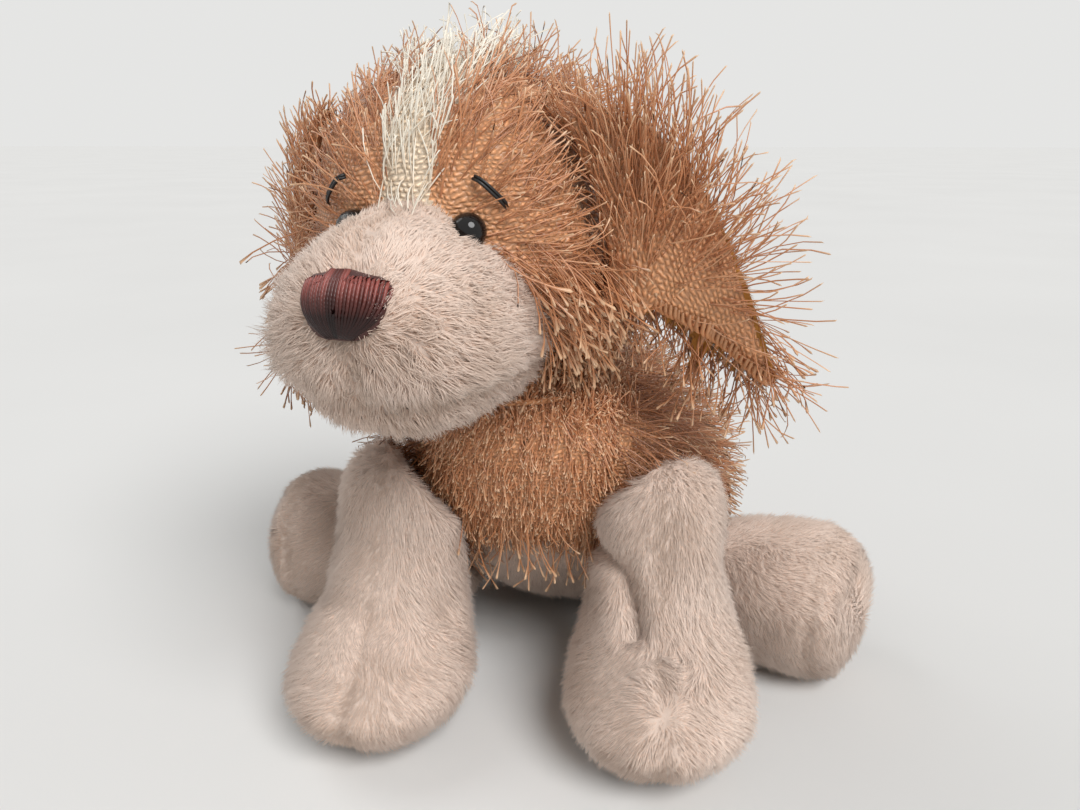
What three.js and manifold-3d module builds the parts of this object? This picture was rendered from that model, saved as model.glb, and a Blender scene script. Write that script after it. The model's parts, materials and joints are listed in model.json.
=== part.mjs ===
// Sitting plush spaniel: stuffed cloth panels, fillings, eyes, ears and tail.
// Millimetres, +Z up, the dog faces -Y and its left side is +X.

import * as THREE from 'three';
import { mergeVertices } from 'three/addons/utils/BufferGeometryUtils.js';
import Module from 'manifold-3d';

const wasm = await Module();
wasm.setup();

// Cloth and clearances
const COVER = 2; // plush backing with its pressed pile
const SEAM_GAP = 0.3; // between panels sewn edge to edge
const FILL_GAP = 0.3; // between a cover and its filling
const JOINT_GAP = 0.4; // between pieces that move against each other
const ROOM_GAP = 1; // round an ear where the head's yarn ends make room for it
const FLOOR_CUT = 0.5; // how deep the soft forms are pressed flat by the floor

// Body: a soft sack that leans from the rump up to the neck
const RUMP_WIDTH = 98;
const RUMP_DEPTH = 74;
const RUMP_HEIGHT = 34; // centre of the rump
const RUMP_SIDE = 9; // the rump lies to the dog's left
const RUMP_BACK = 40; // and behind the front of the seat
const RUMP_ROUND = 30; // length of the rounded back end
const WAIST_WIDTH = 104;
const WAIST_DEPTH = 82;
const WAIST_HEIGHT = 50;
const WAIST_SIDE = 5;
const WAIST_BACK = 14;
const CHEST_WIDTH = 90;
const CHEST_DEPTH = 72;
const CHEST_HEIGHT = 72;
const CHEST_SIDE = -4;
const CHEST_FORWARD = 8;
const NECK_RADIUS = 28; // ball on the body that the head is sewn round
const NECK_HEIGHT = 96; // centre of that ball
const NECK_SIDE = -10; // the neck leans to the dog's right
const NECK_FORWARD = 14;
const NECK_THREAD = 1.2; // radius of the drawn-up seam thread
const THREAD_ROOM = 9; // the head clears the thread up to here above the ball's centre
const BIB_WIDTH = 58; // tan chest panel between the shoulders
const BELLY_TOP = 50; // the cream panel begins here in front
const BELLY_BACK = 34; // and ends this far back under the seat
const BODY_YARN = 7; // depth of the yarn ends on the back
const BODY_YARN_LOW = 55; // they stand up from above the hind legs
const BODY_YARN_HIGH = 82; // to below the head
const BODY_YARN_BACK = 5; // and behind the reach of the front legs
const POUCH_WIDTH = 62; // pellet bag in the seat
const POUCH_DEPTH = 50;
const POUCH_HEIGHT = 24;
const POUCH_SINK = 1.5; // the bag comes through the filling below and lies on the cover

// Head, measured from its own centre
const HEAD_WIDTH = 88; // across the cheeks
const CROWN_WIDTH = 82;
const HEAD_DEPTH = 76;
const HEAD_HEIGHT = 78;
const CHEEK_DROP = 12; // the cheeks are widest this far below the centre
const CROWN_RISE = 8; // the crown begins to round off here
const HEAD_SIDE = -10; // from the neck to the head's centre
const HEAD_FORWARD = 14;
const HEAD_RISE = 51;
const HEAD_TURN = 7; // degrees to the dog's right
const BLAZE_FRONT = 13; // width of the cream stripe at the bridge
const BLAZE_CROWN = 28; // and on the crown
const BLAZE_NAPE = 22; // and at the nape
const NAPE_DROP = 20; // the stripe ends this far below the head's centre
const HEAD_YARN = 6; // depth of the yarn ends beside the head, and twice that above and behind it
const FACE_FREE = 1; // they lie flat in front, this far inside the cloth at the eyes and brows

// Muzzle, measured from the head's centre
const MUZZLE_WIDTH = 72; // where it is sewn to the head
const MUZZLE_HEIGHT = 58;
const MUZZLE_TIP_WIDTH = 64;
const MUZZLE_TIP_HEIGHT = 53;
const MUZZLE_PEAK = 0.55; // how much narrower the top is than the bottom at the head
const MUZZLE_TIP_PEAK = 0.25; // and near the tip
const MUZZLE_DROP = 22; // its axis runs below the head's centre
const MUZZLE_REACH = 72; // to the tip
const MUZZLE_TIP_ROUND = 25; // length of the rounded end
const CHIN_DROP = 14; // the chin panel begins this far below the muzzle's axis

// Nose, eyes and brows
const NOSE_WIDTH = 21;
const NOSE_HEIGHT = 18;
const NOSE_RISE = 7; // centre above the muzzle's axis
const NOSE_PROUD = 4; // how far it stands off the muzzle
// Outline of the nose, as shares of half its width or height
const NOSE_POINT = 0.55; // how full it is beside the point below
const NOSE_WAIST = 0.35; // how low it keeps its width
const NOSE_SHOULDER = 0.45; // where the sides begin to round over
const NOSE_CORNER = 0.85; // height of the upper corners
const NOSE_PEAK = 1.12; // how far the top edge rises between them
const NOSE_DOME = 1.3; // the dome's size, as a share of the outline's
const EYE_DIAMETER = 9;
const EYE_DOME = 4.2; // height of the dome
const EYE_SHANK = 2; // radius
const EYE_SHANK_LENGTH = 9;
const EYE_SPACING = 30;
const EYE_DROP = 1.5; // below the head's centre
const WASHER_DIAMETER = 10;
const WASHER_THICKNESS = 1.5;
const BROW_LENGTH = 11;
const BROW_THICKNESS = 2;
const BROW_SPACING = 40;
const BROW_RISE = 7.5; // above the head's centre
const BROW_SLANT = 42; // degrees, the inner end is higher

// Ears
const EAR_LENGTH = 60; // from the seam to the tip
const EAR_WIDTH = 50; // along the seam
const EAR_FLARE = 0.2; // how much wider the flap is in the middle
const EAR_TUCK = 0.1; // share of its length that lies inside the seam
const EAR_TAPER_FROM = 0.55; // share of its length where the tip begins to round
const EAR_TAPER = 0.8; // how far the tip rounds in
const EAR_ROOT_RISE = 2; // middle of the seam above the head's centre
const EAR_ROOT_FORWARD = 14; // degrees, the seam lies in front of the head's side
const EAR_ROOT_LEAN = 20; // degrees, the seam leans out towards its lower end
const EAR_ROOT_RAKE = 12; // degrees, and backwards
const EAR_YARN = 7; // depth of the yarn ends on the outside
const EAR_YARN_FROM = 0.3; // share of its length where they begin to stand up
// How each ear hangs, in degrees: behind straight out, below level at the seam and at the tip,
// and how far it can swing backwards and forwards from there.
const EAR_LEFT = { back: 12, lift: 2, droop: 74, swing: [-20, 25] };
const EAR_RIGHT = { back: 45, lift: 28, droop: 62, swing: [-4, 35] };

// Front legs
const FRONT_LEG_SPACING = 78;
const FRONT_LEG_FORWARD = 33; // shoulder pivot in front of the origin
const FRONT_LEG_PIVOT = 60; // height of the shoulder pivot
const FRONT_LEG_THICKNESS = 40;
const FRONT_LEG_ABOVE = 8; // the leg is full up to here above the pivot
const FRONT_LEG_ROUND = 13; // rounded top
const FRONT_PAW_WIDTH = 55;
const FRONT_PAW_LENGTH = 62;
const FRONT_PAW_ROUND = 18; // rounded underside
const PAW_EVEN = 2.5; // height over which the paw keeps its full width
const FRONT_PAW_FORWARD = 25; // centre of the paw in front of the shoulder
const FRONT_LEG_TOP = 0.95; // thickness at the shoulder, as a share of the leg's
const FRONT_LEG_BEND = 0.3; // the leg slants forward from this share of the way down
const FRONT_LEG_ANKLE = 0.65; // and widens into the paw at this share
const FRONT_LEG_TOE_OUT = 4; // degrees
const FRONT_LEG_SWING = [-5, 40];

// Hind legs
const HIND_HIP_LEFT = 43; // hip pivot beside the origin
const HIND_HIP_RIGHT = 36;
const HIND_LEG_BACK = 8; // hip pivot behind the origin
const HIND_LEG_LENGTH = 67; // from the hip pivot to the sole
const HIND_LEG_THICKNESS = 43;
const HIND_FOOT_DIAMETER = 51;
const HIND_FOOT_LENGTH = 20;
const HIND_LEG_FORWARD_LEFT = 23; // degrees forward of straight out
const HIND_LEG_FORWARD_RIGHT = 2;
const HIND_LEG_TOP = 0.9; // thickness at the hip, as a share of the leg's
const HIND_LEG_ROUND = 13; // rounded end inside the hip
const HIND_HEEL = 0.7; // how much of the foot's extra width is reached where the foot begins
const SOLE_ROUND = 13; // how far the sole bulges
const HIND_LEG_SWING = [-6, 30];

// Tail
const TAIL_LENGTH = 36;
const TAIL_THICKNESS = 18;
const TAIL_TIP_THICKNESS = 11;
const TAIL_ROOT_SHARE = 0.9; // thickness at the rump, as a share of the fullest
const TAIL_FULLEST = 0.45; // share of the length where the tail is fullest
const TAIL_ROUND = 4.5; // rounded end at the rump
const TAIL_HEIGHT = 28;
const TAIL_RISE = 30; // degrees above level
const TAIL_WAG = [-28, 28];

// Facets
const BODY_SIDES = 22; // outside of the body, head and muzzle
const BODY_RINGS = 9;
const HEAD_RINGS = 3;
const MUZZLE_RINGS = 4;
const LIMB_SIDES = 14; // outside of the legs
const LIMB_RINGS = 8;
const CORE_SIDES = 14; // inside of the body and head covers, and their fillings
const BODY_CORE_RINGS = 6;
const HEAD_CORE_RINGS = 2;
const LIMB_CORE_SIDES = 10;
const LIMB_CORE_RINGS = 5;
const TAIL_RINGS = 5;
const CAP_RINGS = 3;
const EAR_STEPS = 7; // along the ear, which is straight across
const EYE_SIDES = 14;
const BALL_SIDES = 26; // neck ball and the nose's dome
const BALL_RINGS = 16;
const THREAD_SIDES = 6;
const THREAD_STEPS = 28;
const FACET_TOLERANCE = 0.08; // slivers thinner than this are taken out
const SWEEP_STEP = 7; // degrees between the poses that clear a moving piece
const ROOM_STEP = 10; // and between those that clear the room round one
const PEAK_CURVE = 1.6; // how late a peaked form narrows
const BIG = 400; // larger than the toy, for half-space cuts

// Colours
const CREAM = 0xe3c9b8;
const TAN = 0xb9825a;
const BLAZE = 0xefe3cc;
const OCHRE = 0xb67a35;
const NOSE_BROWN = 0x5a2926;
const BLACK = 0x0c0c0c;
const WHITE_FILL = 0xf2f0ea;
const POUCH_GREY = 0xc8c4bb;
const WASHER_WHITE = 0xe8e8e4;
const THREAD_TAN = 0x9a6a45;

const X_AXIS = new THREE.Vector3(1, 0, 0);
const Y_AXIS = new THREE.Vector3(0, 1, 0);
const Z_AXIS = new THREE.Vector3(0, 0, 1);
const radians = THREE.MathUtils.degToRad;

// Solids and meshes

function bareGeometry(geometry) {
  const bare = geometry.clone();
  bare.deleteAttribute('normal');
  bare.deleteAttribute('uv');
  return mergeVertices(bare);
}

function solidOf(geometry) {
  const bare = bareGeometry(geometry);
  const corners = bare.index.array;
  const kept = [];
  for (let i = 0; i < corners.length; i += 3) {
    const [a, b, c] = [corners[i], corners[i + 1], corners[i + 2]];
    if (a !== b && b !== c && c !== a) kept.push(a, b, c);
  }
  return new wasm.Manifold(new wasm.Mesh({
    numProp: 3,
    vertProperties: new Float32Array(bare.attributes.position.array),
    triVerts: new Uint32Array(kept),
  }));
}

// The largest body of a cut solid, without the crumbs that a cut can leave.
function mainBody(solid) {
  return solid.decompose().reduce((a, b) => (a.volume() >= b.volume() ? a : b));
}

function placed(geometry, matrix) {
  return geometry.clone().applyMatrix4(matrix);
}

function meshOf(name, solid, color, roughness) {
  const { vertProperties, triVerts } = mainBody(solid.simplify(FACET_TOLERANCE)).getMesh();
  const geometry = new THREE.BufferGeometry();
  geometry.setAttribute('position', new THREE.BufferAttribute(new Float32Array(vertProperties), 3));
  geometry.setIndex(Array.from(triVerts));
  const material = new THREE.MeshStandardMaterial({ color, roughness, metalness: 0 });
  const mesh = new THREE.Mesh(geometry, material);
  mesh.name = name;
  return mesh;
}

function boxBetween(low, high) {
  const size = new THREE.Vector3().subVectors(high, low);
  const middle = new THREE.Vector3().addVectors(low, high).multiplyScalar(0.5);
  const box = new THREE.BoxGeometry(size.x, size.y, size.z);
  return box.translate(middle.x, middle.y, middle.z);
}

// Everything on one side of a plane across an axis, from a level upwards or downwards.
function halfSpace(axis, level, sign) {
  const near = axis.clone().multiplyScalar(level);
  const far = axis.clone().multiplyScalar(level + sign * BIG);
  const across = new THREE.Vector3(BIG, BIG, BIG).addScaledVector(axis, -BIG);
  const low = near.clone().min(far).sub(across);
  const high = near.clone().max(far).add(across);
  return boxBetween(low, high);
}

// A stuffed form: oval rings along a smooth spine, rounded off at both ends.
// Each station is { at, wide, deep, peak }: wide lies along side, deep across it, and
// peak is how much narrower the form is at the top of deep than at its bottom.
// The rings face along the spine, or all in one direction if facing is given.
function stuffedForm({ stations, side, facing, capStart, capEnd, rings, sides, grow = 0 }) {
  const spine = new THREE.CatmullRomCurve3(stations.map((s) => s.at), false, 'catmullrom', 0.5);
  const sizes = stations.map((s) => new THREE.Vector3(s.wide, s.deep, s.peak ?? 0));
  const girth = new THREE.CatmullRomCurve3(sizes, false, 'catmullrom', 0.5);
  const positions = [];
  const index = [];

  function addRing(t, shift, scale) {
    const tangent = facing ?? spine.getTangent(t);
    const centre = spine.getPoint(t).addScaledVector(tangent, shift);
    const across = new THREE.Vector3().crossVectors(tangent, side).normalize();
    const along = new THREE.Vector3().crossVectors(across, tangent).normalize();
    const size = girth.getPoint(t);
    for (let i = 0; i < sides; i++) {
      const turn = (2 * Math.PI * i) / sides;
      const narrow = 1 - size.z * ((1 + Math.sin(turn)) / 2) ** PEAK_CURVE;
      const wide = (size.x * narrow + grow) * scale * Math.cos(turn);
      const deep = (size.y + grow) * scale * Math.sin(turn);
      const point = centre.clone().addScaledVector(along, wide).addScaledVector(across, deep);
      positions.push(point.x, point.y, point.z);
    }
  }

  function addPole(t, shift) {
    const point = spine.getPoint(t).addScaledVector(facing ?? spine.getTangent(t), shift);
    positions.push(point.x, point.y, point.z);
  }

  const start = capStart + grow;
  const end = capEnd + grow;
  addPole(0, -start);
  for (let k = CAP_RINGS; k > 0; k--) {
    const angle = (Math.PI / 2) * (k / (CAP_RINGS + 1));
    addRing(0, -start * Math.sin(angle), Math.cos(angle));
  }
  for (let k = 0; k <= rings; k++) addRing(k / rings, 0, 1);
  for (let k = 1; k <= CAP_RINGS; k++) {
    const angle = (Math.PI / 2) * (k / (CAP_RINGS + 1));
    addRing(1, end * Math.sin(angle), Math.cos(angle));
  }
  addPole(1, end);

  const ringCount = 2 * CAP_RINGS + rings + 1;
  const last = 1 + ringCount * sides;
  for (let i = 0; i < sides; i++) {
    const next = (i + 1) % sides;
    index.push(0, 1 + next, 1 + i);
    for (let k = 0; k < ringCount - 1; k++) {
      const a = 1 + k * sides + i;
      const b = 1 + k * sides + next;
      index.push(a, b, a + sides, b, b + sides, a + sides);
    }
    index.push(last, last - sides + i, last - sides + next);
  }
  const geometry = new THREE.BufferGeometry();
  geometry.setAttribute('position', new THREE.Float32BufferAttribute(positions, 3));
  geometry.setIndex(index);
  return geometry;
}

// A sheet of even thickness: surface(u, v) gives its middle, u and v run from 0 to 1.
function sheetGeometry(surface, stepsU, stepsV, below, above) {
  const positions = [];
  const index = [];
  const small = 1e-3;
  function normalAt(u, v) {
    const alongU = surface(Math.min(u + small, 1), v).sub(surface(Math.max(u - small, 0), v));
    const alongV = surface(u, Math.min(v + small, 1)).sub(surface(u, Math.max(v - small, 0)));
    return alongU.cross(alongV).normalize();
  }
  for (const lift of [below, above]) {
    for (let i = 0; i <= stepsU; i++) {
      for (let j = 0; j <= stepsV; j++) {
        const [u, v] = [i / stepsU, j / stepsV];
        const point = surface(u, v).addScaledVector(normalAt(u, v), lift);
        positions.push(point.x, point.y, point.z);
      }
    }
  }
  const row = stepsV + 1;
  const layer = row * (stepsU + 1);
  const at = (i, j, top) => i * row + j + (top ? layer : 0);
  for (let i = 0; i < stepsU; i++) {
    for (let j = 0; j < stepsV; j++) {
      const [a, b, c, d] = [at(i, j), at(i + 1, j), at(i + 1, j + 1), at(i, j + 1)];
      index.push(a, d, c, a, c, b);
      index.push(a + layer, b + layer, c + layer, a + layer, c + layer, d + layer);
    }
  }
  const rim = [];
  for (let i = 0; i < stepsU; i++) rim.push(at(i, 0));
  for (let j = 0; j < stepsV; j++) rim.push(at(stepsU, j));
  for (let i = stepsU; i > 0; i--) rim.push(at(i, stepsV));
  for (let j = stepsV; j > 0; j--) rim.push(at(0, j));
  for (let k = 0; k < rim.length; k++) {
    const [a, b] = [rim[k], rim[(k + 1) % rim.length]];
    index.push(a, b, b + layer, a, b + layer, a + layer);
  }
  const geometry = new THREE.BufferGeometry();
  geometry.setAttribute('position', new THREE.Float32BufferAttribute(positions, 3));
  geometry.setIndex(index);
  return geometry;
}

// Takes from a moving piece what the obstacle would touch as the piece turns about the origin.
function clearedBySweep(solid, obstacle, axis, range) {
  let cleared = solid;
  const steps = Math.ceil((range[1] - range[0]) / SWEEP_STEP);
  for (let k = 0; k <= steps; k++) {
    const angle = range[0] + ((range[1] - range[0]) * k) / steps;
    const turn = new THREE.Matrix4().makeRotationAxis(axis, -radians(angle));
    cleared = cleared.subtract(solidOf(placed(obstacle, turn)));
  }
  return cleared;
}

// The room that a solid takes as it turns about the origin.
function sweptRoom(solid, axis, range) {
  const steps = Math.ceil((range[1] - range[0]) / ROOM_STEP);
  let room = solid.transform(new THREE.Matrix4().makeRotationAxis(axis, radians(range[0])).elements);
  for (let k = 1; k <= steps; k++) {
    const angle = range[0] + ((range[1] - range[0]) * k) / steps;
    room = room.add(solid.transform(new THREE.Matrix4().makeRotationAxis(axis, radians(angle)).elements));
  }
  return room;
}

// Where a ray from inside a form leaves it, with the outward normal there.
function exitPoint(geometry, from, direction) {
  const probe = new THREE.Mesh(geometry, new THREE.MeshBasicMaterial({ side: THREE.DoubleSide }));
  const ray = new THREE.Raycaster(from, direction.clone().normalize());
  const hits = ray.intersectObject(probe);
  const hit = hits[hits.length - 1];
  return { point: hit.point, normal: hit.face.normal.clone() };
}

// Turns +Z to a direction and moves the origin to a point.
function seatMatrix(point, direction) {
  const turn = new THREE.Quaternion().setFromUnitVectors(Z_AXIS, direction.clone().normalize());
  return new THREE.Matrix4().compose(point, turn, new THREE.Vector3(1, 1, 1));
}

function groupAt(name, matrix, ...children) {
  const group = new THREE.Group();
  group.name = name;
  group.applyMatrix4(matrix);
  group.add(...children);
  return group;
}

const floorSpace = halfSpace(Z_AXIS, 0, -1);

// Body

function bodyStations(lift) {
  const station = (x, y, z, width, depth) => ({
    at: new THREE.Vector3(x, y, z + lift),
    wide: width / 2,
    deep: depth / 2,
  });
  return [
    station(RUMP_SIDE, RUMP_BACK, RUMP_HEIGHT, RUMP_WIDTH, RUMP_DEPTH),
    station(WAIST_SIDE, WAIST_BACK, WAIST_HEIGHT, WAIST_WIDTH, WAIST_DEPTH),
    station(CHEST_SIDE, -CHEST_FORWARD, CHEST_HEIGHT, CHEST_WIDTH, CHEST_DEPTH),
    station(NECK_SIDE, -NECK_FORWARD, NECK_HEIGHT, 2 * NECK_RADIUS, 2 * NECK_RADIUS),
  ];
}

function bodyFormAt(lift, grow, sides, rings) {
  return stuffedForm({
    stations: bodyStations(lift),
    side: X_AXIS,
    capStart: RUMP_ROUND,
    capEnd: NECK_RADIUS,
    rings,
    sides,
    grow,
  });
}

// The body is raised or lowered until the floor presses it flat by FLOOR_CUT.
function bodyLiftToFloor() {
  const raw = bodyFormAt(0, 0, BODY_SIDES, BODY_RINGS);
  raw.computeBoundingBox();
  return -FLOOR_CUT - raw.boundingBox.min.z;
}

const bodyLift = bodyLiftToFloor();
const neckCentre = new THREE.Vector3(NECK_SIDE, -NECK_FORWARD, NECK_HEIGHT + bodyLift);

function bodyForm(grow, sides = BODY_SIDES, rings = BODY_RINGS) {
  return bodyFormAt(bodyLift, grow, sides, rings);
}

function neckThreadRing(radius) {
  const ring = new THREE.TorusGeometry(NECK_RADIUS + NECK_THREAD, radius, THREAD_SIDES, THREAD_STEPS);
  return ring.translate(neckCentre.x, neckCentre.y, neckCentre.z);
}

// Side outline of the cream belly, drawn across the body.
function bellyBlock(margin) {
  const outline = new THREE.Shape();
  outline.moveTo(-BIG, BELLY_TOP + margin);
  outline.lineTo(-CHEST_DEPTH / 2, BELLY_TOP + margin);
  outline.lineTo(BELLY_BACK + margin, margin);
  outline.lineTo(BELLY_BACK + margin, -BIG / 4);
  outline.lineTo(-BIG, -BIG / 4);
  const block = new THREE.ExtrudeGeometry(outline, { depth: BIG, bevelEnabled: false });
  block.translate(0, 0, -BIG / 2);
  const frame = new THREE.Matrix4().makeBasis(Y_AXIS, Z_AXIS, X_AXIS);
  return solidOf(block.applyMatrix4(frame));
}

function chestBlock(margin) {
  const low = new THREE.Vector3(-BIB_WIDTH / 2 - margin, -BIG, -BIG);
  const high = new THREE.Vector3(BIB_WIDTH / 2 + margin, -NECK_FORWARD + margin, BIG);
  return solidOf(boxBetween(low, high).translate(CHEST_SIDE, 0, 0));
}

function pouchForm(grow) {
  const ball = new THREE.SphereGeometry(1, LIMB_CORE_SIDES, 8);
  ball.scale(POUCH_WIDTH / 2 + grow, POUCH_DEPTH / 2 + grow, POUCH_HEIGHT / 2 + grow);
  return solidOf(ball.translate(RUMP_SIDE, BELLY_BACK, COVER + POUCH_HEIGHT / 2 - POUCH_SINK));
}

// Yarn ends on the back, from above the hind legs to below the head.
function bodyYarn() {
  return solidOf(bodyForm(BODY_YARN)).subtract(solidOf(bodyForm(SEAM_GAP)))
    .intersect(solidOf(halfSpace(Z_AXIS, BODY_YARN_LOW, 1)))
    .intersect(solidOf(halfSpace(Z_AXIS, BODY_YARN_HIGH, -1)))
    .intersect(solidOf(halfSpace(Y_AXIS, BODY_YARN_BACK, 1)));
}

function buildTorso() {
  const core = (grow) => solidOf(bodyForm(grow, CORE_SIDES, BODY_CORE_RINGS));
  const thread = solidOf(neckThreadRing(NECK_THREAD + JOINT_GAP));
  const shell = solidOf(bodyForm(0)).subtract(core(-COVER)).subtract(thread).subtract(solidOf(floorSpace));
  const belly = shell.intersect(bellyBlock(0));
  const upper = shell.subtract(bellyBlock(SEAM_GAP));
  const chest = upper.intersect(chestBlock(0));
  const sides = upper.subtract(chestBlock(SEAM_GAP));
  const leftHalf = solidOf(halfSpace(X_AXIS, SEAM_GAP / 2, 1));
  const rightHalf = solidOf(halfSpace(X_AXIS, -SEAM_GAP / 2, -1));
  const yarn = bodyYarn();

  const filling = core(-COVER - FILL_GAP);
  const pouch = pouchForm(0).intersect(filling);
  const stuffing = filling.subtract(pouchForm(FILL_GAP)).subtract(thread);
  return groupAt(
    'torso',
    new THREE.Matrix4(),
    meshOf('body_side_left', sides.intersect(leftHalf), TAN, 0.8),
    meshOf('body_side_right', sides.intersect(rightHalf), TAN, 0.8),
    meshOf('body_yarn_left', yarn.intersect(leftHalf), TAN, 0.7),
    meshOf('body_yarn_right', yarn.intersect(rightHalf), TAN, 0.7),
    meshOf('chest_panel', chest, TAN, 0.8),
    meshOf('belly_panel', belly, CREAM, 0.9),
    meshOf('body_stuffing', stuffing, WHITE_FILL, 1),
    meshOf('pellet_pouch', pouch, POUCH_GREY, 0.9),
  );
}

// Head

const headMatrix = new THREE.Matrix4().makeRotationZ(-radians(HEAD_TURN)).setPosition(
  NECK_SIDE + HEAD_SIDE,
  -NECK_FORWARD - HEAD_FORWARD,
  neckCentre.z + HEAD_RISE,
);
const intoHead = headMatrix.clone().invert();

function headForm(grow, sides = BODY_SIDES, rings = HEAD_RINGS) {
  return stuffedForm({
    stations: [
      { at: new THREE.Vector3(0, 0, -CHEEK_DROP), wide: HEAD_WIDTH / 2, deep: HEAD_DEPTH / 2 },
      { at: new THREE.Vector3(0, 0, CROWN_RISE), wide: CROWN_WIDTH / 2, deep: HEAD_DEPTH / 2 },
    ],
    side: X_AXIS,
    capStart: HEAD_HEIGHT / 2 - CHEEK_DROP,
    capEnd: HEAD_HEIGHT / 2 - CROWN_RISE,
    rings,
    sides,
    grow,
  });
}

function muzzleForm(grow, sides = BODY_SIDES, rings = MUZZLE_RINGS) {
  const root = new THREE.Vector3(0, -HEAD_DEPTH / 6, -MUZZLE_DROP);
  const tip = new THREE.Vector3(0, -(MUZZLE_REACH - MUZZLE_TIP_ROUND), -MUZZLE_DROP);
  return stuffedForm({
    stations: [
      { at: root, wide: MUZZLE_WIDTH / 2, deep: MUZZLE_HEIGHT / 2, peak: MUZZLE_PEAK },
      { at: tip, wide: MUZZLE_TIP_WIDTH / 2, deep: MUZZLE_TIP_HEIGHT / 2, peak: MUZZLE_TIP_PEAK },
    ],
    side: X_AXIS,
    capStart: HEAD_DEPTH / 6,
    capEnd: MUZZLE_TIP_ROUND,
    rings,
    sides,
    grow,
  });
}

// Room for the neck's ball, and lower down for the seam thread round it.
function neckSocket() {
  const toNeck = intoHead.clone().multiply(new THREE.Matrix4().setPosition(neckCentre));
  const ball = (radius) => new THREE.SphereGeometry(radius, BALL_SIDES, BALL_RINGS).rotateX(Math.PI / 2);
  const threadRoom = solidOf(ball(NECK_RADIUS + 2 * (NECK_THREAD + JOINT_GAP)))
    .intersect(solidOf(halfSpace(Z_AXIS, THREAD_ROOM, -1)));
  const room = threadRoom.add(solidOf(ball(NECK_RADIUS + JOINT_GAP)));
  return room.transform(toNeck.elements);
}

// Plan of the cream stripe: narrow at the bridge, widest on the crown.
function blazeBlock(margin) {
  const half = HEAD_DEPTH / 2;
  const outline = new THREE.Shape();
  outline.moveTo(-BLAZE_FRONT / 2 - margin, -half - BIG / 8);
  outline.lineTo(BLAZE_FRONT / 2 + margin, -half - BIG / 8);
  outline.lineTo(BLAZE_FRONT / 2 + margin, -half);
  outline.lineTo(BLAZE_CROWN / 2 + margin, 0);
  outline.lineTo(BLAZE_NAPE / 2 + margin, half);
  outline.lineTo(BLAZE_NAPE / 2 + margin, BIG / 4);
  outline.lineTo(-BLAZE_NAPE / 2 - margin, BIG / 4);
  outline.lineTo(-BLAZE_NAPE / 2 - margin, half);
  outline.lineTo(-BLAZE_CROWN / 2 - margin, 0);
  outline.lineTo(-BLAZE_FRONT / 2 - margin, -half);
  const block = new THREE.ExtrudeGeometry(outline, { depth: BIG / 4, bevelEnabled: false });
  return solidOf(block.translate(0, 0, -NAPE_DROP - margin));
}

function eyeSeat(side) {
  const aim = new THREE.Vector3(side * EYE_SPACING / 2, 0, -EYE_DROP);
  return exitPoint(headForm(0), aim, new THREE.Vector3(0, -1, 0));
}

// Dome and shank turned about +Z, the dome's flat back at the origin.
function eyeSolid(gap) {
  const radius = EYE_DIAMETER / 2 + gap;
  const points = [new THREE.Vector2(0, -EYE_SHANK_LENGTH - gap)];
  points.push(new THREE.Vector2(EYE_SHANK + gap, -EYE_SHANK_LENGTH - gap));
  points.push(new THREE.Vector2(EYE_SHANK + gap, -gap));
  for (let k = 0; k < 5; k++) {
    const angle = (Math.PI / 2) * (k / 5);
    points.push(new THREE.Vector2(radius * Math.cos(angle), -gap + (EYE_DOME + 2 * gap) * Math.sin(angle)));
  }
  points.push(new THREE.Vector2(0, EYE_DOME + gap));
  return new THREE.LatheGeometry(points, EYE_SIDES).rotateX(Math.PI / 2);
}

function washerSolid(gap) {
  const inner = EYE_SHANK + FILL_GAP - gap;
  const outer = WASHER_DIAMETER / 2 + gap;
  const top = -COVER - 2 * FILL_GAP + gap;
  const bottom = -COVER - 2 * FILL_GAP - WASHER_THICKNESS - gap;
  const points = [
    new THREE.Vector2(inner, bottom),
    new THREE.Vector2(outer, bottom),
    new THREE.Vector2(outer, top),
    new THREE.Vector2(inner, top),
    new THREE.Vector2(inner, bottom),
  ];
  return new THREE.LatheGeometry(points, EYE_SIDES).rotateX(Math.PI / 2);
}

// Pad with a broad, slightly peaked top that rounds to a point below.
function noseSolid() {
  const half = NOSE_WIDTH / 2;
  const top = NOSE_HEIGHT / 2;
  const outline = new THREE.Shape();
  outline.moveTo(0, -top);
  const [point, corner] = [half * NOSE_POINT, top * NOSE_CORNER];
  outline.bezierCurveTo(-point, -corner, -half, -top * NOSE_WAIST, -half, top * NOSE_SHOULDER);
  outline.quadraticCurveTo(-half, corner, -point, corner);
  outline.quadraticCurveTo(0, top * NOSE_PEAK, point, corner);
  outline.quadraticCurveTo(half, corner, half, top * NOSE_SHOULDER);
  outline.bezierCurveTo(half, -top * NOSE_WAIST, point, -corner, 0, -top);
  const prism = new THREE.ExtrudeGeometry(outline, { depth: BIG / 4, bevelEnabled: false, curveSegments: 6 });
  prism.rotateX(Math.PI / 2);
  prism.translate(0, 0, NOSE_RISE - MUZZLE_DROP);

  const seat = exitPoint(muzzleForm(0), new THREE.Vector3(0, -HEAD_DEPTH / 2, NOSE_RISE - MUZZLE_DROP),
    new THREE.Vector3(0, -1, 0));
  const dome = new THREE.SphereGeometry(1, BALL_SIDES, BALL_RINGS);
  dome.scale(half * NOSE_DOME, NOSE_PROUD + half, top * NOSE_DOME);
  dome.translate(0, seat.point.y + half, NOSE_RISE - MUZZLE_DROP);
  return solidOf(prism).intersect(solidOf(dome)).subtract(solidOf(muzzleForm(SEAM_GAP)));
}

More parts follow.
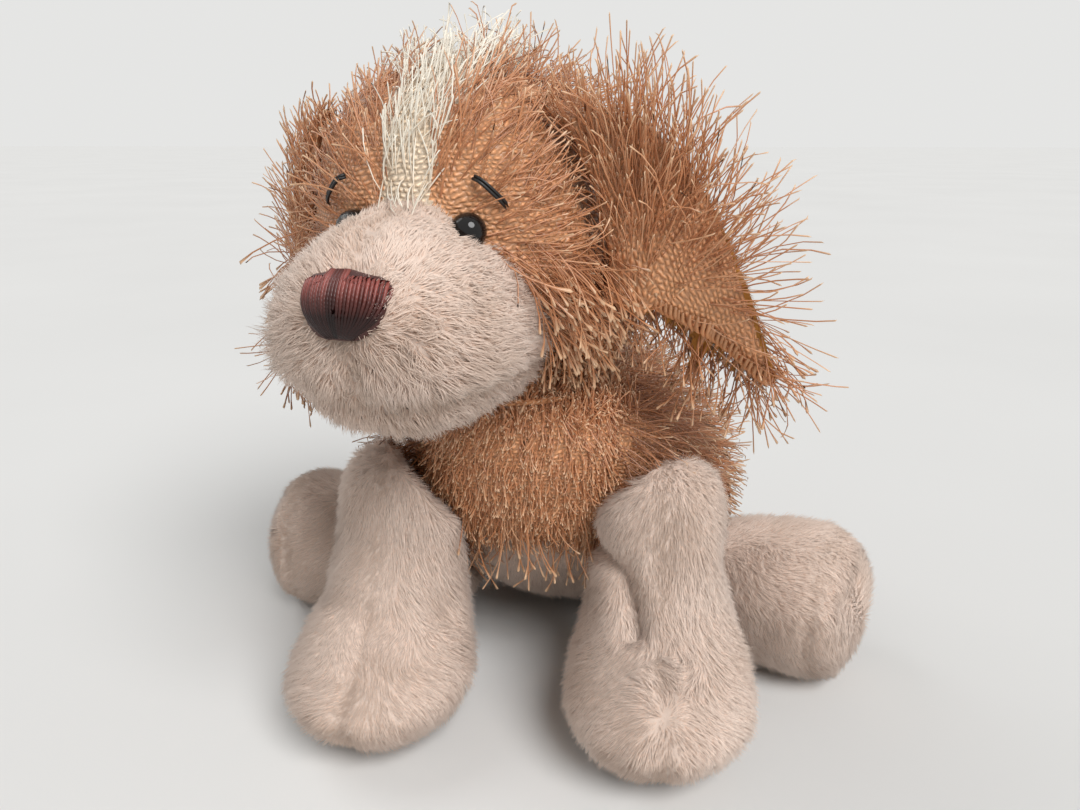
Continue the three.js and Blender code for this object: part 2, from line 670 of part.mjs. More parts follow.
function browSolid(side) {
  const aim = new THREE.Vector3(side * BROW_SPACING / 2, 0, BROW_RISE);
  const seat = exitPoint(headForm(0), aim, new THREE.Vector3(0, -1, 0));
  const radius = BROW_THICKNESS / 2;
  const bar = new THREE.CapsuleGeometry(radius, BROW_LENGTH - BROW_THICKNESS, 3, 8);
  const lift = seat.point.clone().addScaledVector(seat.normal, radius + SEAM_GAP);
  bar.rotateX(Math.PI / 2);
  bar.rotateY(side * radians(BROW_SLANT + 90));
  const level = new THREE.Vector3(0, -1, 0);
  const turn = new THREE.Quaternion().setFromUnitVectors(level, seat.normal);
  bar.applyMatrix4(new THREE.Matrix4().compose(lift, turn, new THREE.Vector3(1, 1, 1)));
  return solidOf(bar).subtract(solidOf(headForm(SEAM_GAP / 2)));
}

// Yarn ends that lie flat on the face, and stand off the sides above the cheeks, the crown and the back.
function headYarn(earRoom) {
  const coat = headForm(HEAD_YARN, CORE_SIDES, HEAD_CORE_RINGS).translate(0, HEAD_YARN + FACE_FREE, HEAD_YARN);
  return solidOf(coat)
    .subtract(solidOf(headForm(SEAM_GAP)))
    .subtract(solidOf(muzzleForm(SEAM_GAP)))
    .subtract(earRoom)
    .intersect(solidOf(halfSpace(Z_AXIS, -CHEEK_DROP, 1)));
}

function buildHead(earRoom) {
  const socket = neckSocket();
  const seats = { left: eyeSeat(1), right: eyeSeat(-1) };
  const eyeMatrix = (seat) => seatMatrix(seat.point.clone().addScaledVector(seat.normal, SEAM_GAP), seat.normal);
  let eyeClear = solidOf(placed(eyeSolid(FILL_GAP / 2), eyeMatrix(seats.left)));
  eyeClear = eyeClear.add(solidOf(placed(eyeSolid(FILL_GAP / 2), eyeMatrix(seats.right))));
  let washers = solidOf(placed(washerSolid(FILL_GAP), eyeMatrix(seats.left)));
  washers = washers.add(solidOf(placed(washerSolid(FILL_GAP), eyeMatrix(seats.right))));

  const headCore = (grow) => solidOf(headForm(grow, CORE_SIDES, HEAD_CORE_RINGS));
  const muzzleCore = (grow) => solidOf(muzzleForm(grow, CORE_SIDES, HEAD_CORE_RINGS));
  const inside = headCore(-COVER).add(muzzleCore(-COVER)).add(socket).add(eyeClear).add(washers);
  const headCovers = solidOf(headForm(0)).subtract(inside).subtract(solidOf(muzzleForm(SEAM_GAP)));
  const muzzleShell = solidOf(muzzleForm(0)).subtract(inside).subtract(solidOf(headForm(SEAM_GAP)));

  const gusset = headCovers.intersect(blazeBlock(0));
  const sides = headCovers.subtract(blazeBlock(SEAM_GAP));
  const leftHalf = solidOf(halfSpace(X_AXIS, SEAM_GAP / 2, 1));
  const rightHalf = solidOf(halfSpace(X_AXIS, -SEAM_GAP / 2, -1));
  const chinLevel = -MUZZLE_DROP - CHIN_DROP;
  const chin = muzzleShell.intersect(solidOf(halfSpace(Z_AXIS, chinLevel - SEAM_GAP, -1)));
  const cheeks = muzzleShell.intersect(solidOf(halfSpace(Z_AXIS, chinLevel, 1)));

  const inset = -COVER - FILL_GAP;
  const filling = headCore(inset).add(muzzleCore(inset)).subtract(socket).subtract(eyeClear).subtract(washers);

  const yarn = headYarn(earRoom);
  const yarnSides = yarn.subtract(blazeBlock(SEAM_GAP));
  const eye = (seat) => solidOf(placed(eyeSolid(0), eyeMatrix(seat)));
  const washer = (seat) => solidOf(placed(washerSolid(0), eyeMatrix(seat)));
  return [
    meshOf('head_side_left', sides.intersect(leftHalf), TAN, 0.8),
    meshOf('head_side_right', sides.intersect(rightHalf), TAN, 0.8),
    meshOf('head_gusset', gusset, BLAZE, 0.8),
    meshOf('head_yarn_left', yarnSides.intersect(leftHalf), TAN, 0.7),
    meshOf('head_yarn_right', yarnSides.intersect(rightHalf), TAN, 0.7),
    meshOf('blaze_yarn', yarn.intersect(blazeBlock(0)), BLAZE, 0.7),
    meshOf('muzzle_left', cheeks.intersect(leftHalf), CREAM, 0.9),
    meshOf('muzzle_right', cheeks.intersect(rightHalf), CREAM, 0.9),
    meshOf('chin_panel', chin, CREAM, 0.9),
    meshOf('nose', noseSolid(), NOSE_BROWN, 0.45),
    meshOf('eye_left', eye(seats.left), BLACK, 0.1),
    meshOf('eye_right', eye(seats.right), BLACK, 0.1),
    meshOf('eye_washer_left', washer(seats.left), WASHER_WHITE, 0.5),
    meshOf('eye_washer_right', washer(seats.right), WASHER_WHITE, 0.5),
    meshOf('brow_left', browSolid(1), BLACK, 0.6),
    meshOf('brow_right', browSolid(-1), BLACK, 0.6),
    meshOf('head_stuffing', filling, WHITE_FILL, 1),
  ];
}

// Ears: two cloths sewn together, hanging from a seam on the side of the head, with yarn ends outside.
// Gives the ear's group, and the room that the ear takes beside the head as it swings.

function buildEar(side, label, pose) {
  const [lean, rake] = [radians(EAR_ROOT_LEAN), radians(EAR_ROOT_RAKE)];
  const seam = new THREE.Vector3(side * Math.sin(lean), Math.sin(rake), -Math.cos(lean)).normalize();
  const hinge = seam.clone().multiplyScalar(side);
  const back = radians(pose.back);
  const outward = new THREE.Vector3(side * Math.cos(back), Math.sin(back), 0);
  const forward = radians(EAR_ROOT_FORWARD);
  const aim = new THREE.Vector3(side * Math.cos(forward), -Math.sin(forward), 0);
  const root = exitPoint(headForm(0), new THREE.Vector3(0, 0, EAR_ROOT_RISE), aim).point;

  // The flap curls down in an arc from the pose's lift to its droop along its length.
  const [rise, fall] = [radians(pose.lift), radians(pose.droop)];
  const bend = fall - rise;
  function surface(u, v, wider) {
    const reach = -EAR_TUCK + (1 + EAR_TUCK) * v;
    const angle = rise + bend * reach;
    const out = (Math.sin(angle) - Math.sin(rise)) / bend;
    const down = (Math.cos(rise) - Math.cos(angle)) / bend;
    const round = Math.max(0, (reach - EAR_TAPER_FROM) / (1 - EAR_TAPER_FROM));
    const taper = Math.sqrt(1 - EAR_TAPER * round ** 2);
    const half = (EAR_WIDTH / 2) * (1 + EAR_FLARE * Math.sin(Math.PI * Math.max(0, reach))) * taper + wider;
    return new THREE.Vector3()
      .addScaledVector(seam, (2 * u - 1) * half)
      .addScaledVector(outward, out * EAR_LENGTH)
      .addScaledVector(Z_AXIS, -down * EAR_LENGTH);
  }

  function layer(from, to, start = 0, wider = 0) {
    const [below, above] = side > 0 ? [from, to] : [-to, -from];
    const part = (u, v) => surface(u, start + (1 - start) * v, wider);
    return solidOf(sheetGeometry(part, 1, EAR_STEPS, below, above));
  }

  const obstacle = headForm(JOINT_GAP).translate(-root.x, -root.y, -root.z);
  const cut = (solid) => clearedBySweep(solid, obstacle, hinge, pose.swing);
  const half = SEAM_GAP / 2;
  const cloth = half + COVER;
  const yarn = cloth + SEAM_GAP;
  const outline = layer(-cloth - ROOM_GAP, cloth + ROOM_GAP, 0, ROOM_GAP)
    .add(layer(half, yarn + EAR_YARN + ROOM_GAP, EAR_YARN_FROM - ROOM_GAP / EAR_LENGTH, ROOM_GAP));
  const group = groupAt(
    `ear_${label}`,
    new THREE.Matrix4().setPosition(root),
    meshOf(`ear_outer_${label}`, cut(layer(half, cloth)), TAN, 0.8),
    meshOf(`ear_yarn_${label}`, cut(layer(yarn, yarn + EAR_YARN, EAR_YARN_FROM)), TAN, 0.7),
    meshOf(`ear_lining_${label}`, cut(layer(-cloth, -half)), OCHRE, 0.9),
  );
  return { group, room: sweptRoom(outline, hinge, pose.swing).translate(root.toArray()) };
}

// Legs

function buildFrontLeg(side, label) {
  const matrix = new THREE.Matrix4().makeRotationZ(side * radians(FRONT_LEG_TOE_OUT)).setPosition(
    side * FRONT_LEG_SPACING / 2,
    -FRONT_LEG_FORWARD,
    FRONT_LEG_PIVOT,
  );
  const into = matrix.clone().invert();
  const leg = FRONT_LEG_THICKNESS / 2;
  const pawLevel = FRONT_PAW_ROUND - FRONT_LEG_PIVOT - FLOOR_CUT;
  const [pawWide, pawDeep] = [FRONT_PAW_WIDTH / 2, FRONT_PAW_LENGTH / 2];
  const at = (forward, level) => new THREE.Vector3(0, -forward, level);
  const on = (share) => at(FRONT_PAW_FORWARD * share, pawLevel * share);
  const form = (grow, sides, rings) => stuffedForm({
    stations: [
      { at: at(0, FRONT_LEG_ABOVE), wide: leg * FRONT_LEG_TOP, deep: leg * FRONT_LEG_TOP },
      { at: on(FRONT_LEG_BEND), wide: leg, deep: leg },
      { at: on(FRONT_LEG_ANKLE), wide: (leg + pawWide) / 2, deep: (leg + pawDeep) / 2 },
      { at: at(FRONT_PAW_FORWARD, pawLevel + PAW_EVEN), wide: pawWide, deep: pawDeep },
      { at: on(1), wide: pawWide, deep: pawDeep },
    ],
    side: X_AXIS,
    facing: Z_AXIS.clone().negate(),
    capStart: FRONT_LEG_ROUND,
    capEnd: FRONT_PAW_ROUND,
    rings,
    sides,
    grow,
  });
  const obstacle = placed(bodyForm(JOINT_GAP), into);
  const axis = X_AXIS.clone().negate();
  const floor = solidOf(placed(floorSpace, into));
  const cleared = (geometry) => clearedBySweep(solidOf(geometry), obstacle, axis, FRONT_LEG_SWING).subtract(floor);
  const core = (grow) => form(grow, LIMB_CORE_SIDES, LIMB_CORE_RINGS);
  const shell = cleared(form(0, LIMB_SIDES, LIMB_RINGS)).subtract(solidOf(core(-COVER)));
  const outer = shell.intersect(solidOf(halfSpace(X_AXIS, side * SEAM_GAP / 2, side)));
  const inner = shell.intersect(solidOf(halfSpace(X_AXIS, -side * SEAM_GAP / 2, -side)));
  const filling = cleared(core(-COVER - FILL_GAP));
  return groupAt(
    `front_leg_${label}`,
    matrix,
    meshOf(`front_leg_outer_${label}`, outer, CREAM, 0.9),
    meshOf(`front_leg_inner_${label}`, inner, CREAM, 0.9),
    meshOf(`front_leg_stuffing_${label}`, filling, WHITE_FILL, 1),
  );
}

function buildHindLeg(side, label, hip, forward) {
  const foot = HIND_FOOT_DIAMETER / 2;
  const leg = HIND_LEG_THICKNESS / 2;
  const height = foot - FLOOR_CUT;
  const matrix = new THREE.Matrix4().makeRotationZ(-side * radians(forward)).setPosition(
    side * hip,
    HIND_LEG_BACK,
    height,
  );
  const into = matrix.clone().invert();
  const heel = leg + (foot - leg) * HIND_HEEL;
  const footStart = HIND_LEG_LENGTH - SOLE_ROUND - HIND_FOOT_LENGTH;
  const soleStart = HIND_LEG_LENGTH - SOLE_ROUND;
  const at = (reach, level) => new THREE.Vector3(side * reach, 0, level);
  const form = (grow, sides, rings) => stuffedForm({
    stations: [
      { at: at(0, leg - foot), wide: leg * HIND_LEG_TOP, deep: leg * HIND_LEG_TOP },
      { at: at(footStart / 2, leg - foot), wide: leg, deep: leg },
      { at: at(footStart, heel - foot), wide: heel, deep: heel },
      { at: at(soleStart, 0), wide: foot, deep: foot },
    ],
    side: Z_AXIS,
    capStart: HIND_LEG_ROUND,
    capEnd: SOLE_ROUND,
    rings,
    sides,
    grow,
  });
  const obstacle = placed(bodyForm(JOINT_GAP), into);
  const axis = Z_AXIS.clone().multiplyScalar(side);
  const floor = solidOf(placed(floorSpace, into));
  const cleared = (geometry) => clearedBySweep(solidOf(geometry), obstacle, axis, HIND_LEG_SWING).subtract(floor);
  const core = (grow) => form(grow, LIMB_CORE_SIDES, LIMB_CORE_RINGS);
  const shell = cleared(form(0, LIMB_SIDES, LIMB_RINGS)).subtract(solidOf(core(-COVER)));
  const cover = shell.intersect(solidOf(halfSpace(X_AXIS, side * soleStart, -side)));
  const sole = shell.intersect(solidOf(halfSpace(X_AXIS, side * (soleStart + SEAM_GAP), side)));
  const filling = cleared(core(-COVER - FILL_GAP));
  return groupAt(
    `hind_leg_${label}`,
    matrix,
    meshOf(`hind_leg_cover_${label}`, cover, CREAM, 0.9),
    meshOf(`hind_sole_${label}`, sole, CREAM, 0.9),
    meshOf(`hind_leg_stuffing_${label}`, filling, WHITE_FILL, 1),
  );
}

// Tail

function buildTail() {
  const rise = radians(TAIL_RISE);
  const back = exitPoint(bodyForm(0), new THREE.Vector3(RUMP_SIDE, RUMP_BACK, TAIL_HEIGHT), Y_AXIS).point;
  const matrix = new THREE.Matrix4().setPosition(back);
  const into = matrix.clone().invert();
  const root = TAIL_THICKNESS / 2;
  const tip = TAIL_TIP_THICKNESS / 2;
  const run = TAIL_LENGTH - tip;
  const at = (reach) => new THREE.Vector3(0, reach * Math.cos(rise), reach * Math.sin(rise));
  const form = (grow, sides) => stuffedForm({
    stations: [
      { at: at(-TAIL_ROUND / 2), wide: root * TAIL_ROOT_SHARE, deep: root * TAIL_ROOT_SHARE },
      { at: at(run * TAIL_FULLEST), wide: root, deep: root },
      { at: at(run), wide: tip, deep: tip },
    ],
    side: X_AXIS,
    capStart: TAIL_ROUND,
    capEnd: tip,
    rings: TAIL_RINGS,
    sides,
    grow,
  });
  const obstacle = placed(bodyForm(JOINT_GAP), into);
  const cleared = (geometry) => clearedBySweep(solidOf(geometry), obstacle, Z_AXIS, TAIL_WAG);
  const cover = cleared(form(0, LIMB_CORE_SIDES)).subtract(solidOf(form(-COVER, LIMB_CORE_SIDES)));
  return groupAt(
    'tail',
    matrix,
    meshOf('tail_cover', cover, TAN, 0.8),
    meshOf('tail_stuffing', cleared(form(-COVER - FILL_GAP, LIMB_CORE_SIDES)), WHITE_FILL, 1),
  );
}

// Assembly

const spaniel = new THREE.Group();
const neckSeam = meshOf('neck_seam', solidOf(neckThreadRing(NECK_THREAD)), THREAD_TAN, 0.7);
const earLeft = buildEar(1, 'left', EAR_LEFT);
const earRight = buildEar(-1, 'right', EAR_RIGHT);
const headPieces = buildHead(earLeft.room.add(earRight.room));
spaniel.add(buildTorso(), neckSeam);
spaniel.add(groupAt('head', headMatrix, ...headPieces, earLeft.group, earRight.group));
spaniel.add(buildFrontLeg(1, 'left'), buildFrontLeg(-1, 'right'));
spaniel.add(buildHindLeg(1, 'left', HIND_HIP_LEFT, HIND_LEG_FORWARD_LEFT));
spaniel.add(buildHindLeg(-1, 'right', HIND_HIP_RIGHT, HIND_LEG_FORWARD_RIGHT));
spaniel.add(buildTail());

// The origin is on the floor, under the middle of the toy's box.
const box = new THREE.Box3().setFromObject(spaniel, true);
spaniel.position.set(-(box.min.x + box.max.x) / 2, -(box.min.y + box.max.y) / 2, -box.min.z);

export default spaniel;
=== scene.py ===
"""Dresses the sitting plush spaniel: stuffed cloth forms, plush pile, yarn shag, stitched nose and eyes."""

import json
import math

import bpy
import numpy as np
from bpy.props import FloatProperty, FloatVectorProperty, IntProperty, PointerProperty
from mathutils import Matrix, Vector, noise
from mathutils.bvhtree import BVHTree
from mathutils.kdtree import KDTree


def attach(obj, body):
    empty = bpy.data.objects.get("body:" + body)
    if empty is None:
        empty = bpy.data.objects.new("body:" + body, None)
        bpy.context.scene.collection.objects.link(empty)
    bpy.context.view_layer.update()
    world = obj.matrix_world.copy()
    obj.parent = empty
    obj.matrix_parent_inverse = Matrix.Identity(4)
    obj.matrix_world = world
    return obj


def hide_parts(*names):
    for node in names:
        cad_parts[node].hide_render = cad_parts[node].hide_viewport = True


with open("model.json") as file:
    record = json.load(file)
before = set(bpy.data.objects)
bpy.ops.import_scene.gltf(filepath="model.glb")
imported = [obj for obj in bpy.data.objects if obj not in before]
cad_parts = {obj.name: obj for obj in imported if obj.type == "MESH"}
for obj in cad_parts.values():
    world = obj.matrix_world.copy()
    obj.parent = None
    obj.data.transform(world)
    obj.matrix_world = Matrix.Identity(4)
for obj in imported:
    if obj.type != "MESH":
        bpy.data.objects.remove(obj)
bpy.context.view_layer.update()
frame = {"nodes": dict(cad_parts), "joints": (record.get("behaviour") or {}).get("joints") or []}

bl_info = {
    "name": "Plush spaniel",
    "version": (1, 0, 0),
    "blender": (4, 5, 0),
    "location": "View3D > Sidebar > Spaniel",
    "description": "Builds the cloth, pile and stitching of a sitting plush spaniel",
    "category": "Object",
}

MM = 0.001
UP = np.array([0.0, 0.0, 1.0])
TINY = 1e-9  # keeps a division by no length at all finite
STRAND_MAP = "OFBake"  # u is a strand's own tint, v runs from its root to its tip
SIDES = ("left", "right")
BODY_PANELS = ["body_side_left", "body_side_right", "chest_panel", "belly_panel"]
HEAD_PANELS = [
    "head_side_left", "head_side_right", "head_gusset", "muzzle_left", "muzzle_right", "chin_panel"
]
CHEST = BODY_PANELS.index("chest_panel")
BELLY = BODY_PANELS.index("belly_panel")
STRIPE = HEAD_PANELS.index("head_gusset")
MUZZLE = HEAD_PANELS.index("muzzle_left")  # the plush panels of the face begin here
EAR_OUTER, EAR_LINING = 0, 1  # the two panels of an ear
JOINTS = {joint["name"]: joint for joint in frame["joints"]}


def pivot_of(joint):
    return np.array(JOINTS[joint]["pos_m"])


def axis_of(joint):
    return np.array(JOINTS[joint]["axis"])


# Places on the toy, in metres
NECK = pivot_of("head_nod")
HEAD_X = axis_of("head_nod")  # towards the dog's left
HEAD_Y = np.cross(UP, HEAD_X)  # towards the nape
NECK_TO_HEAD = np.array([-10, -14, 51]) * MM
HEAD_CENTRE = NECK + NECK_TO_HEAD
FACE_FORWARD = 40 * MM
FACE_DROP = 16 * MM
FACE_CENTRE = HEAD_CENTRE - FACE_FORWARD * HEAD_Y - FACE_DROP * UP
EAR_SEAM_TOP, EAR_SEAM_END = -30 * MM, 32 * MM  # down the seam from the ear's pivot

# The photograph's camera: place in metres, turn in degrees, lens in millimetres
VIEW_PLACE = (0.0358, -0.2576, 0.167)
VIEW_TURN = (72.1, 0.0, 9.0)
VIEW_LENS = 27.4


# Settings


def colour(name, description, value):
    return FloatVectorProperty(
        name=name, description=description, subtype="COLOR", size=3, min=0, max=1, default=value
    )


def length(name, description, value):
    return FloatProperty(
        name=name, description=description, subtype="DISTANCE", unit="LENGTH", min=0, default=value
    )


class SpanielColours(bpy.types.PropertyGroup):
    """Colours of the cloths and threads."""

    cream: colour("Cream plush", "Middle of the short pile", (0.91, 0.725, 0.615))
    # The pile's colour is darker at its roots, as painted shade deep in the pile, and paler at its tips, as
    # painted light on them.
    cream_root_shade: colour("Cream root", "Roots of the short pile", (0.74, 0.48, 0.35))
    cream_tip: colour("Cream tip", "Tips of the short pile", (0.97, 0.86, 0.77))
    tan: colour("Tan yarn", "Middle of the long yarn ends", (0.60, 0.25, 0.105))
    tan_root: colour("Tan root", "Roots of the long yarn ends", (0.45, 0.16, 0.06))
    tan_tip: colour("Tan tip", "Frayed tips of the long yarn ends", (0.86, 0.60, 0.38))
    blaze: colour("Blaze yarn", "Cream yarn of the forehead stripe", (0.95, 0.89, 0.77))
    blaze_root: colour("Blaze root", "Roots of the cream yarn", (0.84, 0.66, 0.48))
    knit: colour("Knit cloth", "Knitted backing of the tan yarn", (0.77, 0.375, 0.18))
    blaze_knit: colour("Blaze cloth", "Knitted backing of the cream yarn", (0.90, 0.72, 0.53))
    ochre: colour("Ear lining", "Short plush inside the ears", (0.55, 0.24, 0.05))
    nose: colour("Nose thread", "Satin thread of the nose", (0.26, 0.068, 0.056))
    black: colour("Black", "Eyes and brow threads", (0.006, 0.005, 0.005))
    washer: colour("Washer", "Plastic of the washers behind the eyes", (0.80, 0.80, 0.77))


class SpanielSizes(bpy.types.PropertyGroup):
    """Sizes of the cloths and threads."""

    voxel: length("Panel mesh", "Mesh size of the stuffed forms before they swell", 0.004)
    tail_voxel: length("Tail mesh", "Mesh size of the tail before it swells", 0.0022)
    ear_voxel: length("Ear mesh", "Mesh size of the ear flaps", 0.0016)
    nose_voxel: length("Nose mesh", "Mesh size of the nose's padding", 0.0012)
    pile: length("Pile", "Length of the short plush pile", 0.0046)
    fibre: length("Fibre", "Radius of one fibre of the plush pile", 0.00012)
    shag: length("Shag", "Length of the long yarn ends", 0.0235)
    yarn: length("Yarn", "Radius of one long yarn end", 0.00017)
    yarn_top: length("Yarn top", "Height that the yarn ends hardly pass", 0.2005)
    wale: length("Wale", "Width of one knitted stitch", 0.0022)
    course: length("Course", "Height of one knitted stitch", 0.00125)
    nose_thread: length("Nose thread", "Radius of a nose thread", 0.00045)
    brow_thread: length("Brow thread", "Radius of a brow thread", 0.00042)
    neck_ply: length("Neck ply", "Radius of one ply of the neck's thread", 0.0005)
    eye: length("Eye", "Radius of an eye's dome", 0.0045)
    seed: IntProperty(name="Seed", description="Start of the random scatter", min=1, default=7)


def settings():
    return bpy.context.scene.spaniel_colours, bpy.context.scene.spaniel_sizes


# Directions, distances and shares of points


def unit(vectors):
    size = np.linalg.norm(vectors, axis=-1, keepdims=True)
    return vectors / np.maximum(size, TINY)


def along_surface(vectors, normals):
    return unit(vectors - normals * np.sum(vectors * normals, axis=1, keepdims=True))


def rise(values, start, span):
    """0 up to start, then evenly up to 1 over the span."""
    return np.clip((values - start) / span, 0, 1)


def bell(gap, width):
    """1 where the gap is nothing, fading to 0 over about two widths."""
    return np.exp(-(gap / width) ** 2)


def off_axis(local, axis):
    """Distance from an axis through the origin."""
    return np.linalg.norm(local - (local @ axis)[:, None] * axis, axis=1)


def gaps_to(points, places):
    """Distance from every place to every point."""
    return np.linalg.norm(places[:, None] - points[None], axis=2)


def run_of(line):
    """How far along the line each of its points lies."""
    return np.append(0, np.cumsum(np.linalg.norm(np.diff(line, axis=0), axis=1)))


def even(share):
    """The same share everywhere."""
    return lambda places, normals: np.full(len(places), share)


# Selecting and meshes

WELD = 0.00002  # corners of the CAD's loose triangles that are nearer than this are one


def pick(*objects):
    """Selects only these objects, the last of them active."""
    bpy.ops.object.select_all(action="DESELECT")
    for item in objects:
        item.select_set(True)
    bpy.context.view_layer.objects.active = objects[-1]


def read(rows, field, width=1, kind=np.int32):
    """One field of a mesh's points, corners or faces as an array."""
    found = np.empty(len(rows) * width, kind)
    rows.foreach_get(field, found)
    return found.reshape(-1, width) if width > 1 else found


def node_points(name):
    return coords(frame["nodes"][name])


def coords(obj):
    return read(obj.data.vertices, "co", 3, float)


def normals_of(obj):
    return read(obj.data.vertices, "normal", 3, float)


def set_coords(obj, places):
    obj.data.vertices.foreach_set("co", np.ascontiguousarray(places).ravel())
    obj.data.update()


def move_out(obj, distance):
    """Moves the skin along its normals, one distance for all or one for each point."""
    places = coords(obj)
    distance = np.broadcast_to(distance, len(places))[:, None]
    set_coords(obj, places + distance * normals_of(obj))


def node_tree(name):
    """A search tree over the surface of a CAD node."""
    mesh = frame["nodes"][name].data
    corners = [vertex.co.copy() for vertex in mesh.vertices]
    return BVHTree.FromPolygons(corners, [list(face.vertices) for face in mesh.polygons])


def copy_nodes(name, nodes):
    """One new object with merged copies of these CAD nodes."""
    copies = []
    for node in nodes:
        copy = bpy.data.objects.new(name, frame["nodes"][node].data.copy())
        bpy.context.scene.collection.objects.link(copy)
        copies.append(copy)
    pick(*copies)
    if len(copies) > 1:
        bpy.ops.object.join()
    made = bpy.context.view_layer.objects.active
    made.name = name
    made.data.name = name
    made.data.materials.clear()
    bpy.ops.object.mode_set(mode="EDIT")
    bpy.ops.mesh.select_all(action="SELECT")
    bpy.ops.mesh.remove_doubles(threshold=WELD)
    bpy.ops.object.mode_set(mode="OBJECT")
    return made


def apply_modifier(obj, kind, **values):
    pick(obj)
    made = obj.modifiers.new(kind.lower(), kind)
    for name, value in values.items():
        setattr(made, name, value)
    bpy.ops.object.modifier_apply(modifier=made.name)


def smooth(obj, iterations):
    apply_modifier(obj, "SMOOTH", factor=0.5, iterations=iterations)


def remesh(obj, voxel):
    obj.data.remesh_voxel_size = voxel
    bpy.ops.object.voxel_remesh()


def subdivide(obj):
    apply_modifier(obj, "SUBSURF", levels=1, render_levels=1)


def shade_smooth(obj):
    pick(obj)
    bpy.ops.object.shade_smooth()


def dress(obj, body, nodes=()):
    """Says what a piece rides on and which CAD nodes it stands for."""
    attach(obj, body)
    if nodes:
        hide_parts(*nodes)


# Stuffed forms

SWELL_STEPS = 20  # frames of the cloth simulation
CLOTH_QUALITY = 5
SLACK = 0.3  # share of the swelling's cap that a form is taken in by first
FLOOR_GAP = 0.0004  # a form's skin stays this far above the floor


def swell(obj, pressure, cap):
    """Blows the closed cloth up with Cloth's pressure, no point further than the cap."""
    start = coords(obj)
    pick(obj)
    stuffing = obj.modifiers.new("stuffing", "CLOTH")
    stuffing.settings.quality = CLOTH_QUALITY
    stuffing.settings.use_pressure = True
    stuffing.settings.uniform_pressure_force = pressure
    stuffing.settings.effector_weights.gravity = 0
    for step in range(1, SWELL_STEPS + 1):
        bpy.context.scene.frame_set(step)
    bpy.ops.object.modifier_apply(modifier=stuffing.name)
    bpy.context.scene.frame_set(1)
    moved = coords(obj) - start
    reach = np.linalg.norm(moved, axis=1, keepdims=True)
    set_coords(obj, start + moved * np.minimum(1, cap / np.maximum(reach, TINY)))


def stuffed(name, nodes, voxel, pressure=4.0, cap=0.0025):
    """A closed, swollen cloth form in the space of these CAD nodes."""
    obj = copy_nodes(name, nodes)
    remesh(obj, voxel)
    smooth(obj, 4)
    move_out(obj, -SLACK * cap)
    swell(obj, pressure, cap)
    smooth(obj, 2)
    subdivide(obj)
    places = coords(obj)
    places[:, 2] = np.maximum(places[:, 2], FLOOR_GAP)
    set_coords(obj, places)
    shade_smooth(obj)
    return obj


def crease(obj, line, depth, width):
    """Draws the skin in along a line of points."""
    places = coords(obj)
    gap = np.full(len(places), np.inf)
    for start, end in zip(line[:-1], line[1:]):
        run = end - start
        share = np.clip((places - start) @ run / (run @ run), 0, 1)[:, None]
        gap = np.minimum(gap, np.linalg.norm(places - start - share * run, axis=1))
    move_out(obj, -depth * bell(gap, width))


def nearest_panels(obj, gaps):
    """The panel that each face lies nearest to, from its corners' distances to all of them."""
    corner = read(obj.data.loops, "vertex_index")
    start = read(obj.data.polygons, "loop_start")
    return np.argmin(np.add.reduceat(gaps[corner], start, axis=0), axis=1)


def lay_panels(obj, nodes, cloths, groove=0.0012, spread=0.0024):
    """Gives each face the cloth of its nearest panel, and draws the skin in along the seams."""
    trees = [node_tree(node) for node in nodes]
    places = coords(obj)
    gaps = np.array([[tree.find_nearest(Vector(p))[3] for tree in trees] for p in places])
    order = np.sort(gaps, axis=1)
    seam = order[:, 1] - order[:, 0] if len(nodes) > 1 else np.full(len(places), 1.0)
    groove = groove(places) if callable(groove) else groove
    move_out(obj, -groove * bell(seam, spread))
    store(obj, "seam", seam)
    panel = nearest_panels(obj, gaps)
    kinds = list(dict.fromkeys(cloths))
    for kind in kinds:
        obj.data.materials.append(kind)
    wears = np.array([kinds.index(kind) for kind in cloths])
    obj.data.polygons.foreach_set("material_index", wears[panel].astype(np.int32))
    held = obj.data.attributes.new("panel", "INT", "FACE")
    held.data.foreach_set("value", panel.astype(np.int32))
    obj.data.update()


def store(obj, name, values):
    held = obj.data.attributes.new(name, "FLOAT", "POINT")
    held.data.foreach_set("value", values.astype(np.float32))


def store_weave(obj, across, up, dark=0.0):
    """Keeps the cloth's own two directions, in metres, for its knit, and the painted shade that darkens its
    folds.
    """
    held = obj.data.attributes.new("weave", "FLOAT_VECTOR", "POINT")
    flat = np.stack([across, up, np.broadcast_to(dark, up.shape)], axis=1).astype(np.float32)
    held.data.foreach_set("vector", flat.ravel())


# Materials

BLACK, WHITE = (0, 0, 0), (1, 1, 1)


